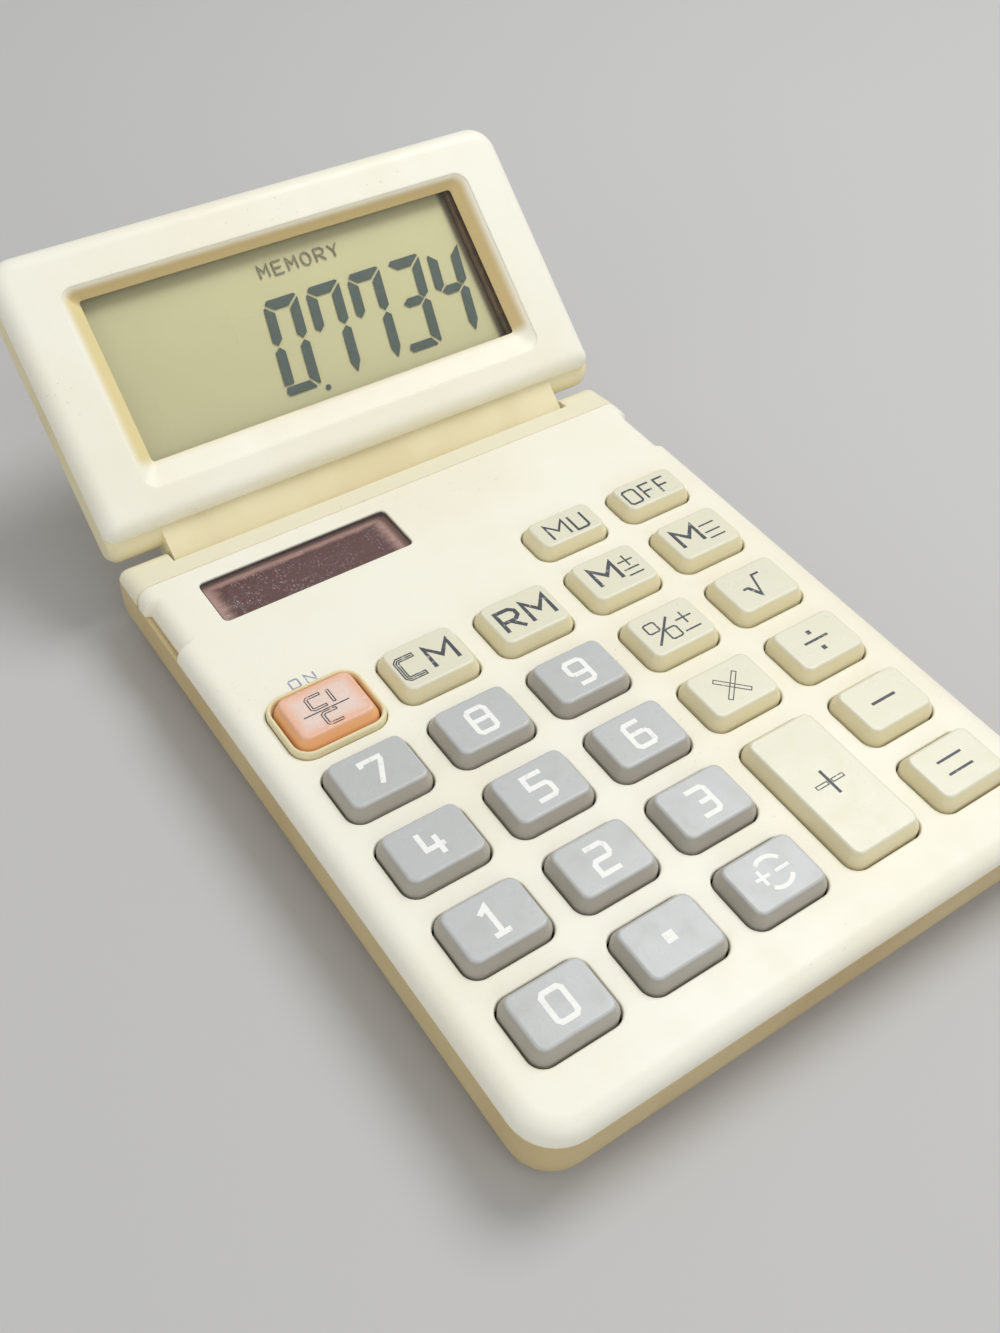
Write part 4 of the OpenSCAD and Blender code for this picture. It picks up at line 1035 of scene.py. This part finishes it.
SOLID = {
    "point": [(1.7, [bar(-0.1, -1.13, 0.57)])],
    "sign": [(0.66, [arc(0.15, 0.1, 2.6, 35, 130), arc(0.15, 0.1, 2.6, -130, -35)]),
             (0.55, [bar(0.1, -3.1, -0.6), post(-1.9, -1.25, 1.35), bar(0.1, 0.35, 2.85)])],
    "memory_plus": [(0.72, glyph("M", -3.8, -1.95, 4.32, 4.15)),
                    (THIN, [post(3.1, -0.19, 2.41)] + [bar(y, 1.5, 4.45) for y in (1.11, -0.83, -2.2)])],
    "memory_minus": [(0.72, glyph("M", -4.3, -1.87, 4.25, 4.1)),
                     (THIN, [bar(y, 0.88, 4.03) for y in (1.07, -0.74, -2.2)])],
    "memory_clear": [(0.68, glyph("M", 0.04, -2.4, 4.2, 4.27))],
    "memory_recall": [(0.7, glyph("R", -4.45, -2.4, 3.3, 4.43) + glyph("M", 0.45, -2.4, 4.2, 4.43))],
    "markup": [(0.44, glyph("M", -3.74, -2.16, 3.57, 3.58) + glyph("U", 1.13, -2.16, 2.48, 3.58))],
    "off": [(0.4, glyph("O", -5.15, -2.04, 2.48, 3.48) + glyph("F", -1.45, -2.04, 2.14, 3.48)
             + glyph("F", 1.79, -2.04, 2.06, 3.48))],
    "percent": [(THIN, glyph("O", -4.16, 0.08, 2.1, 2.12) + glyph("O", -1.51, -2.52, 2.1, 2.32)
                 + [bar(0.52, 1.3, 4.37), post(2.82, -0.8, 1.8), bar(-2.18, 1.3, 4.37)]),
                (0.42, [[(-4.1, -2.6), (0.45, 2.05)]])],
    "root": [(0.42, [[(-2.9, -0.1), (-1.9, -0.05), (-0.72, -2.4), (0.6, 2.0), (2.05, 2.0)]]),
             (0.62, [[(-1.85, -0.15), (-0.76, -2.25)]])],
    "multiply": [],
    "divide": [(0.46, [bar(0.1, -2.75, 2.05)]), (0.8, [bar(y, -0.8, 0) for y in (1.85, -1.85)])],
    "minus": [(0.5, [bar(0, -2.65, 2.15)])],
    "plus": [(0.5, [post(-0.4, -2.3, 2.3)])],
    "equals": [(0.42, [bar(y, -2.7, 2.2) for y in (1.2, -1.3)])],
    "clear": [(0.2, [bar(-0.75, -4.1, 3.5)])],
}
OUTLINED = {
    "memory_clear": (0.74, 0.22, True, glyph("C", -5.03, -2.38, 3.16, 4.2)),
    "multiply": (0.72, 0.16, False, [[(-2.2, -2.3), (2.0, 1.9)], [(2.0, -2.3), (-2.2, 1.9)]]),
    "plus": (0.6, 0.16, False, [bar(0, -3.0, -0.85), bar(0, 0.05, 2.2)]),
    "clear": (0.42, 0.16, False, glyph("C", -2.23, -0.05, 2.4, 2.5) + glyph("I", 0.88, -0.05, 1.2, 2.5)
              + glyph("C", -1.4, -3.6, 2.4, 2.3)),
}


def legend(shape, node, x, y, low, high):
    """Draws a key's sign round the key's middle."""
    s = sizes()
    name = node.removeprefix("key_")
    if name in GLYPHS:
        stroke = mm(s.digit_stroke)
        width, height = mm(s.digit_width) - stroke, mm(s.digit_height) - stroke
        drawn = [(stroke, words(name, *DIGIT_SHIFT, width, height, 0))]
    else:
        drawn = SOLID[name]
    for stroke, paths in drawn:
        for path in paths:
            pen(shape, moved(path, x, y), stroke, low, high)
    if name in OUTLINED:
        stroke, line, inside, paths = OUTLINED[name]
        for path in paths:
            lined(shape, moved(path, x, y), stroke, line, low, high, inside)


KEY_HEIGHT = 5.4


class CALCULATOR_OT_keys(bpy.types.Operator):
    """Make the keys with the signs on them"""

    bl_idname = "calculator.keys"
    bl_label = "Keys"

    def execute(self, context):
        s, c = sizes(), colours()
        inks = {
            "key_grey": ink("print_white", c.print_white, c.key_grey, 0.3),
            "key_cream": ink("print_dark", c.print_dark, c.key_cream, 0.45),
            "key_orange": ink("print_worn", dim(c.print_dark, 0.8), c.key_orange, 0.75),
        }
        for node in KEYS:
            x, y, depth = key_spot(node)
            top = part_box(node)[1].z
            skirt_low = top - KEY_HEIGHT * MM
            slot = SLOT_OF[node]
            cap = caps("cap", [(x, y, skirt_low / MM)], Width=s.key_width, Depth=depth * MM,
                       Corner=s.key_corner, Skirt=s.key_skirt, Rise=top - skirt_low - s.key_skirt,
                       Draft=s.key_draft)
            shape = Shape(on_body)
            shape.mesh.from_mesh(cap.data)
            bpy.data.objects.remove(cap)
            shape.material = 1
            legend(shape, node, x, y, top / MM - PRINT_SINK, top / MM + mm(s.print_rise))
            key = shape.made(node.replace("key_", "keycap_"), finishes()[slot], inks[slot])
            fit(key, node, slot, node, sharp=40)
        return {"FINISHED"}


FOOT_W, FOOT_SKIRT, FOOT_DRAFT = 8, 0.9, 0.45
FOOT_ROUND = 0.999


class CALCULATOR_OT_feet(bpy.types.Operator):
    """Make the rubber feet"""

    bl_idname = "calculator.feet"
    bl_label = "Feet"

    def execute(self, context):
        low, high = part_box("rubber_feet")
        width, skirt = FOOT_W * MM, FOOT_SKIRT * MM
        points = [(side * x, y, high.z / MM) for side in (-1, 1) for x, y in FEET]
        feet = caps("feet", points, Width=width, Depth=width, Corner=width / 2 * FOOT_ROUND, Skirt=skirt,
                    Rise=high.z - low.z - skirt, Draft=FOOT_DRAFT * MM, Turn=(math.pi, 0, 0))
        feet.data.materials.append(finishes()["foot_rubber"])
        fit(feet, "base", "foot_rubber", "rubber_feet", sharp=40)
        return {"FINISHED"}


DISPLAY_LOW = 8.9
DISPLAY_END = 58
RIM_W = 2.7
FACE_W = 5.6
RECESS_W = 3.6
SHELL_WALL = 1.4
LOWER_R, UPPER_R = 2, 5
RIM_BOX = (39.5, 14.8, 50, 2.5)
OPEN_BOX = (36.4, 19.2, 48, 0.6)
RIM_FLATNESS = 0.7
LIP = ((0.12, 0.16), (0, 0.1), (0, 0))


def display_ring(inset, low):
    lower_r, upper_r = (max(r - inset, LEAST_R) for r in (LOWER_R, UPPER_R))
    return ring(HALF - inset, low, DISPLAY_END - inset, lower_r, upper_r)


class CALCULATOR_OT_bezel(bpy.types.Operator):
    """Make the cream front of the display with its chamfered recess"""

    bl_idname = "calculator.bezel"
    bl_label = "Bezel"

    def execute(self, context):
        s = sizes()
        edge, chamfer, rim = mm(s.bezel_edge), mm(s.seam_chamfer), mm(s.rim_round)
        shape = Shape(on_display)

        def contour(inset, w):
            return shape.loop(level(display_ring(inset, DISPLAY_LOW + inset), w))

        def recess(box, grown, w):
            half, low, high, radius = box
            grown_r = radius + grown
            return shape.loop(level(ring(half + grown, low - grown, high + grown, grown_r, grown_r), w))

        outer = [contour(chamfer, RIM_W), contour(0, RIM_W + chamfer)]
        for inset, rise in quarter(EDGE_STEPS)[1:]:
            outer.append(contour(edge * inset, FACE_W - edge * (1 - rise)))
        outer.append(contour(edge + SUPPORT, FACE_W))
        shape.skin(*outer)
        funnel = [recess(RIM_BOX, rim + SUPPORT, FACE_W)]
        for flat, drop in quarter(RIM_STEPS):
            funnel.append(recess(RIM_BOX, rim * (1 - drop), FACE_W - rim * RIM_FLATNESS * flat))
        funnel += [recess(OPEN_BOX, grown, RECESS_W + rise) for grown, rise in LIP]
        shape.skin(*funnel)
        inside = [contour(SHELL_WALL, w) for w in (RIM_W, RECESS_W)]
        shape.skin(outer[0], *inside)
        shape.fill(outer[-1], funnel[0])
        shape.fill(inside[1], funnel[-1])
        fit(shape.made("bezel", finishes()["bezel"]), "display", "cover_cream", "display_bezel", sharp=30)
        return {"FINISHED"}


BACK_W = -5
BACK_R = 3
BACK_LOW = 12.4
LOWER_EDGE = (9.6, -0.4, 3.2)
DISPLAY_SCREWS = [(44, 14.4), (44, 52.5)]
DISPLAY_PIT = (1.8, -3.4)
POST_WALL, POST_TOP = 0.6, 1.6
FLOOR_INSET = 1
SHELL_STEPS = 9
BARREL_STEPS = 48
BARREL_R = 3.8
BARREL_X = 39.6
TONGUE_END = 10.9
TONGUE_W = (2.7, -3.0)


class CALCULATOR_OT_rear_shell(bpy.types.Operator):
    """Make the beige back of the display with its tongue and hinge barrel"""

    bl_idname = "calculator.rear_shell"
    bl_label = "Rear shell"

    def execute(self, context):
        chamfer = mm(sizes().seam_chamfer)
        shape = Shape(on_display)

        def low_at(w):
            u, middle, radius = LOWER_EDGE
            return u - math.sqrt(max(radius ** 2 - (w - middle) ** 2, 0))

        def contour(inset, low, w):
            return shape.loop(level(display_ring(inset, low), w))

        round_w = BACK_W + BACK_R
        outer = [contour(chamfer, low_at(RIM_W) + chamfer, RIM_W)]
        for i in range(SHELL_STEPS + 1):
            w = RIM_W - chamfer + (round_w - RIM_W + chamfer) * i / SHELL_STEPS
            outer.append(contour(0, low_at(w), w))
        start = low_at(round_w)
        outer += [contour(BACK_R * inset, start + (BACK_LOW - start) * inset, round_w - BACK_R * drop)
                  for inset, drop in quarter(EDGE_STEPS)[1:]]
        shape.skin(*outer)
        floor_w = BACK_W + SHELL_WALL
        inside = [contour(SHELL_WALL, low_at(RIM_W) + SHELL_WALL, RIM_W),
                  contour(SHELL_WALL, low_at(RIM_W) + SHELL_WALL, round_w),
                  contour(SHELL_WALL + FLOOR_INSET, BACK_LOW, floor_w)]
        shape.skin(outer[0], *inside)
        backs, floors = [outer[-1]], [inside[-1]]
        for side in (-1, 1):
            for x, u in DISPLAY_SCREWS:
                radius, seat = DISPLAY_PIT
                backs.append(shape.well(circle(side * x, u, radius), BACK_W, seat))
                stud = circle(side * x, u, radius + POST_WALL, BOSS_SIDES)
                floors.append(shape.well(stud, floor_w, seat + POST_TOP))
        shape.fill(*backs)
        shape.fill(*floors)
        shell = shape.made("rear_shell", finishes()["case_beige"])
        combine(shell, self.tongue(), "UNION")
        fit(shell, "display", "case_beige", "display_rear_shell", sharp=25)
        return {"FINISHED"}

    @staticmethod
    def tongue():
        front, back = TONGUE_W
        start, end = math.asin(front / BARREL_R), math.tau + math.asin(back / BARREL_R)
        profile = [(TONGUE_END, front)]
        for i in range(BARREL_STEPS + 1):
            a = start + (end - start) * i / BARREL_STEPS
            profile.append((BARREL_R * math.cos(a), BARREL_R * math.sin(a)))
        profile.append((TONGUE_END, back))
        shape = Shape(on_display)
        sides = [shape.loop([(x, u, w) for u, w in profile]) for x in (-BARREL_X, BARREL_X)]
        shape.skin(*sides)
        for side in sides:
            shape.fill(side)
        return shape.made("tongue", finishes()["case_beige"])


GLASS_X, GLASS_LOW, GLASS_HIGH = 35.9, 18.4, 48.8
GLASS_FRONT, FILM_FRONT, GLASS_BACK = 1.6, 1.3, 0.0
DIGIT_W, DIGIT_H, DIGIT_PITCH, DIGIT_X, DIGIT_U, SLANT = 7.0, 17.2, 8.45, -9.1, 22.2, 0.165
READOUT = [("abcdef", True), ("abcf", False), ("abcf", False), ("abcdg", False), ("bcfg", False)]
SEGMENT_GAP = 0.12
SEGMENT_DEPTHS = (0.12, 0.06)
FILM_GAP = 0.02
GLASS_R, GLASS_SOFT = 0.4, 0.08
POINT_X, POINT_U, POINT_R, POINT_SIDES = 0.9, -0.6, 0.48, 20
MEMORY_PLACE, MEMORY_LETTER, MEMORY_GAP = (3.6, 44.35), (1.75, 2.3), 1.05
SIGN_STROKE = 0.28


def segments():
    """Outlines of the seven segments in a digit's upright box."""
    w, h, t = DIGIT_W, DIGIT_H, mm(sizes().segment_stroke)
    m, k = h / 2 + 0.3, 0.7
    return {
        "a": [(0.9, h), (w - k, h), (w - 0.15, h - 0.45), (w - t, h - t), (t, h - t), (0.35, h - 0.75)],
        "b": [(w, h - 1.0), (w, m + t * 0.4), (w - t * 0.5, m), (w - t, m + t * 0.5), (w - t, h - t * 1.15),
              (w - 0.1, h - 0.6)],
        "c": [(w, k), (w, m - t * 0.4), (w - t * 0.5, m), (w - t, m - t * 0.5), (w - t, t), (w - 0.25, 0.3)],
        "d": [(k, 0), (w - 1.1, 0), (w - 0.8, 0.2), (w - t, t * 0.85), (0.35, t * 0.85), (0.05, 0.7)],
        "e": [(0, t * 0.9), (0, m - t * 0.4), (t * 0.5, m), (t, m - t * 0.5), (t, t), (t - 0.25, t * 0.9)],
        "f": [(0, h - 1.4), (0, m + t * 0.4), (t * 0.5, m), (t, m + t * 0.5), (t, h - t * 1.2),
              (0.3, h - 1.05)],
        "g": [(t * 0.55, m), (t * 1.1, m + t * 0.45), (w - t * 1.1, m + t * 0.45), (w - t * 0.55, m),
              (w - t * 1.1, m - t * 0.45), (t * 1.1, m - t * 0.45)],
        "tip": [(w, t), (w, m - t * 0.4), (w - t * 0.5, m), (w - t, m - t * 0.5), (w - t, t), (w - t * 0.5, 0)],
    }


def drawn_in(points, distance):
    """A convex outline drawn in all round."""
    area = sum(ax * by - bx * ay for (ax, ay), (bx, by) in zip(points, points[1:] + points[:1]))
    return offset(points, math.copysign(distance, area), True)


class CALCULATOR_OT_readout(bpy.types.Operator):
    """Make the glass of the readout with its film and its dark segments"""

    bl_idname = "calculator.readout"
    bl_label = "Readout"

    def execute(self, context):
        c = colours()
        shape = Shape(on_display)
        layers = (GLASS_BACK, FILM_FRONT), (FILM_FRONT + FILM_GAP, GLASS_FRONT)
        for index, (low, high) in enumerate(layers):
            shape.material = index
            self.slab(shape, low, high)
        glass = shape.made("glass", finishes()["lcd_glass"], clear("lcd_front", 0.0))
        fit(glass, "display", "lcd_glass", "lcd_glass")

        shape = Shape(on_display)
        low, high = (GLASS_FRONT - depth for depth in SEGMENT_DEPTHS)
        forms = segments()

        def lean(points, x):
            return [(x + px + SLANT * py, DIGIT_U + py) for px, py in points]

        for i, (lit, point) in enumerate(READOUT):
            x = DIGIT_X + DIGIT_PITCH * i
            for name in lit:
                form = forms["tip" if name == "c" and "d" not in lit else name]
                shape.prism(lean(drawn_in(form, SEGMENT_GAP), x), low, high)
            if point:
                dot = circle(x + DIGIT_W + POINT_X, DIGIT_U + POINT_U, POINT_R, POINT_SIDES)
                shape.prism(dot, low, high)
        shape.material = 1
        for path in words("MEMoRY", *MEMORY_PLACE, *MEMORY_LETTER, MEMORY_GAP):
            pen(shape, path, SIGN_STROKE, low, high)
        dark = ink("segment_dark", c.segment, dim(c.segment, 1.25), 0.4)
        faint = ink("segment_faint", dim(c.film, 0.55), dim(c.film, 0.7), 0.5)
        fit(shape.made("segments", dark, faint), "display", "lcd_glass")
        return {"FINISHED"}

    @staticmethod
    def slab(shape, low, high):
        soft = GLASS_SOFT
        outline = plate(0, (GLASS_LOW + GLASS_HIGH) / 2, 2 * GLASS_X, GLASS_HIGH - GLASS_LOW, GLASS_R)
        rows = [shape.loop(level(outline(grown), w))
                for grown, w in ((-soft, low), (0, low + soft), (0, high - soft), (-soft, high))]
        shape.skin(*rows)
        shape.fill(rows[0])
        shape.fill(rows[-1])


ON_SIGN = {"O": -37.75, "N": -35.05}
ON_Y, ON_LETTER = 80.1, (1.5, 1.75)


class CALCULATOR_OT_print(bpy.types.Operator):
    """Print the sign over the clear key on the cover"""

    bl_idname = "calculator.print"
    bl_label = "Print"

    def execute(self, context):
        shape = Shape(on_body)
        for letter, x in ON_SIGN.items():
            for path in glyph(letter, x, ON_Y, *ON_LETTER):
                pen(shape, path, SIGN_STROKE, TOP - PRINT_SINK, TOP + mm(sizes().print_rise))
        faded = ink("print_faded", (0.62, 0.64, 0.74), colours().cover, 0.85)
        fit(shape.made("on_sign", faded), "base", "cover_cream")
        return {"FINISHED"}


class CALCULATOR_OT_carried(bpy.types.Operator):
    """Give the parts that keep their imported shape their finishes"""

    bl_idname = "calculator.carried"
    bl_label = "Carried parts"

    def execute(self, context):
        for node, piece in frame["nodes"].items():
            if not piece.hide_render:
                for place in piece.material_slots:
                    place.material = finishes()["solar_pane" if node == "solar_window" else SLOT_OF[node]]
        return {"FINISHED"}


EYE = (-98.94, -131.89, 175.43)
LOOK = ((0.82196, -0.56761, 0.04678), (0.39204, 0.62346, 0.67646), (-0.41314, -0.53769, 0.73499))
LENS, SENSOR, NEAREST = 38.2, 36, 0.01
LAMPS = {"key_light": ((0.36, 0.08, 0.66), 2.85, 0.42), "fill_light": ((0.05, -0.65, 0.5), 1.2, 0.7),
         "side_light": ((-0.62, -0.10, 0.2), 0.6, 0.5)}
AMBIENT = 0.42
FLOOR_HALF, FLOOR_FADE = 3, (0.3, 1.2)


def sees_background(tree):
    """1 for the rays of the camera, of gloss and of glass, which see the background's tone."""
    path = tree.add("ShaderNodeLightPath")
    kinds = ("Camera", "Glossy", "Transmission")
    camera, gloss, glass = (Value(tree, path.outputs[f"Is {kind} Ray"]) for kind in kinds)
    return camera.most(gloss).most(glass)


class CALCULATOR_OT_stage(bpy.types.Operator):
    """Set the floor, the light and the camera"""

    bl_idname = "calculator.stage"
    bl_label = "Stage"

    def execute(self, context):
        scene = context.scene
        scene.view_settings.view_transform = "Standard"
        self.floor()
        for name, (place, power, size) in LAMPS.items():
            lamp = bpy.data.lights.new(name, "AREA")
            lamp.energy, lamp.size, lamp.shape = power, size, "DISK"
            holder = linked(name, lamp)
            holder.location = place
            holder.rotation_euler = (-Vector(place)).to_track_quat("-Z", "Y").to_euler()
        self.sky(scene)
        camera = bpy.data.cameras.new("camera")
        camera.lens, camera.sensor_width, camera.clip_start = LENS, SENSOR, NEAREST
        holder = linked("camera", camera)
        holder.matrix_world = Matrix.Translation(Vector(EYE) * MM) @ Matrix(LOOK).transposed().to_4x4()
        scene.camera = holder
        return {"FINISHED"}

    @staticmethod
    def floor():
        """Pale floor that is seen to pass into the background's tone far from the object."""
        mesh = bmesh.new()
        bmesh.ops.create_grid(mesh, x_segments=8, y_segments=8, size=FLOOR_HALF)
        data = bpy.data.meshes.new("floor")
        mesh.to_mesh(data)
        mesh.free()
        f = Finish("floor")
        cloud = f.noise(3, 3)
        tone = colours().floor
        near = f.surface(Base_Color=f.mix(cloud, dim(tone, 0.98), tone), Roughness=0.6 + cloud * 0.1)
        away = f.node("ShaderNodeVectorMath", {"operation": "LENGTH"}, {0: f.place}, "Value")
        backdrop = f.node("ShaderNodeEmission", None, {"Color": linear(tone)})
        shown = f.blend(away.between(*FLOOR_FADE) * sees_background(f), near, backdrop)
        data.materials.append(f.done(shown))
        linked("floor", data)

    @staticmethod
    def sky(scene):
        """Even light all round; the camera, gloss and glass see the floor's tone behind the object."""
        scene.world = bpy.data.worlds.new("studio")
        scene.world.use_nodes = True
        tree = Tree(scene.world.node_tree)
        tree.tree.nodes.clear()
        light = tree.node("ShaderNodeBackground", None, {"Color": (1, 0.99, 0.97, 1), "Strength": AMBIENT})
        back = tree.node("ShaderNodeBackground", None, {"Color": linear(colours().floor), "Strength": 1.0})
        shown = tree.blend(sees_background(tree), light, back)
        tree.add("ShaderNodeOutputWorld", None, {"Surface": shown})


OPERATORS = (CALCULATOR_OT_cover, CALCULATOR_OT_case, CALCULATOR_OT_key_ring, CALCULATOR_OT_keys,
             CALCULATOR_OT_feet, CALCULATOR_OT_bezel, CALCULATOR_OT_rear_shell, CALCULATOR_OT_readout,
             CALCULATOR_OT_print, CALCULATOR_OT_carried, CALCULATOR_OT_stage)


class CALCULATOR_PT_panel(bpy.types.Panel):
    """Lists the steps and the sizes and colours that they read"""

    bl_idname = "CALCULATOR_PT_panel"
    bl_label = "Desk calculator"
    bl_space_type = "VIEW_3D"
    bl_region_type = "UI"
    bl_category = "Calculator"

    def draw(self, context):
        for operator in OPERATORS:
            self.layout.operator(operator.bl_idname)
        for group in (context.scene.calculator_sizes, context.scene.calculator_colours):
            box = self.layout.box()
            for name in group.__annotations__:
                box.prop(group, name)


CLASSES = (CalculatorSizes, CalculatorColours, *OPERATORS, CALCULATOR_PT_panel)


def register():
    for kind in CLASSES:
        bpy.utils.register_class(kind)
    bpy.types.Scene.calculator_sizes = PointerProperty(type=CalculatorSizes)
    bpy.types.Scene.calculator_colours = PointerProperty(type=CalculatorColours)


def unregister():
    del bpy.types.Scene.calculator_colours
    del bpy.types.Scene.calculator_sizes
    for kind in reversed(CLASSES):
        bpy.utils.unregister_class(kind)


def main():
    register()
    for operator in OPERATORS:
        family, name = operator.bl_idname.split(".")
        getattr(getattr(bpy.ops, family), name)()


if __name__ == "__main__":
    main()
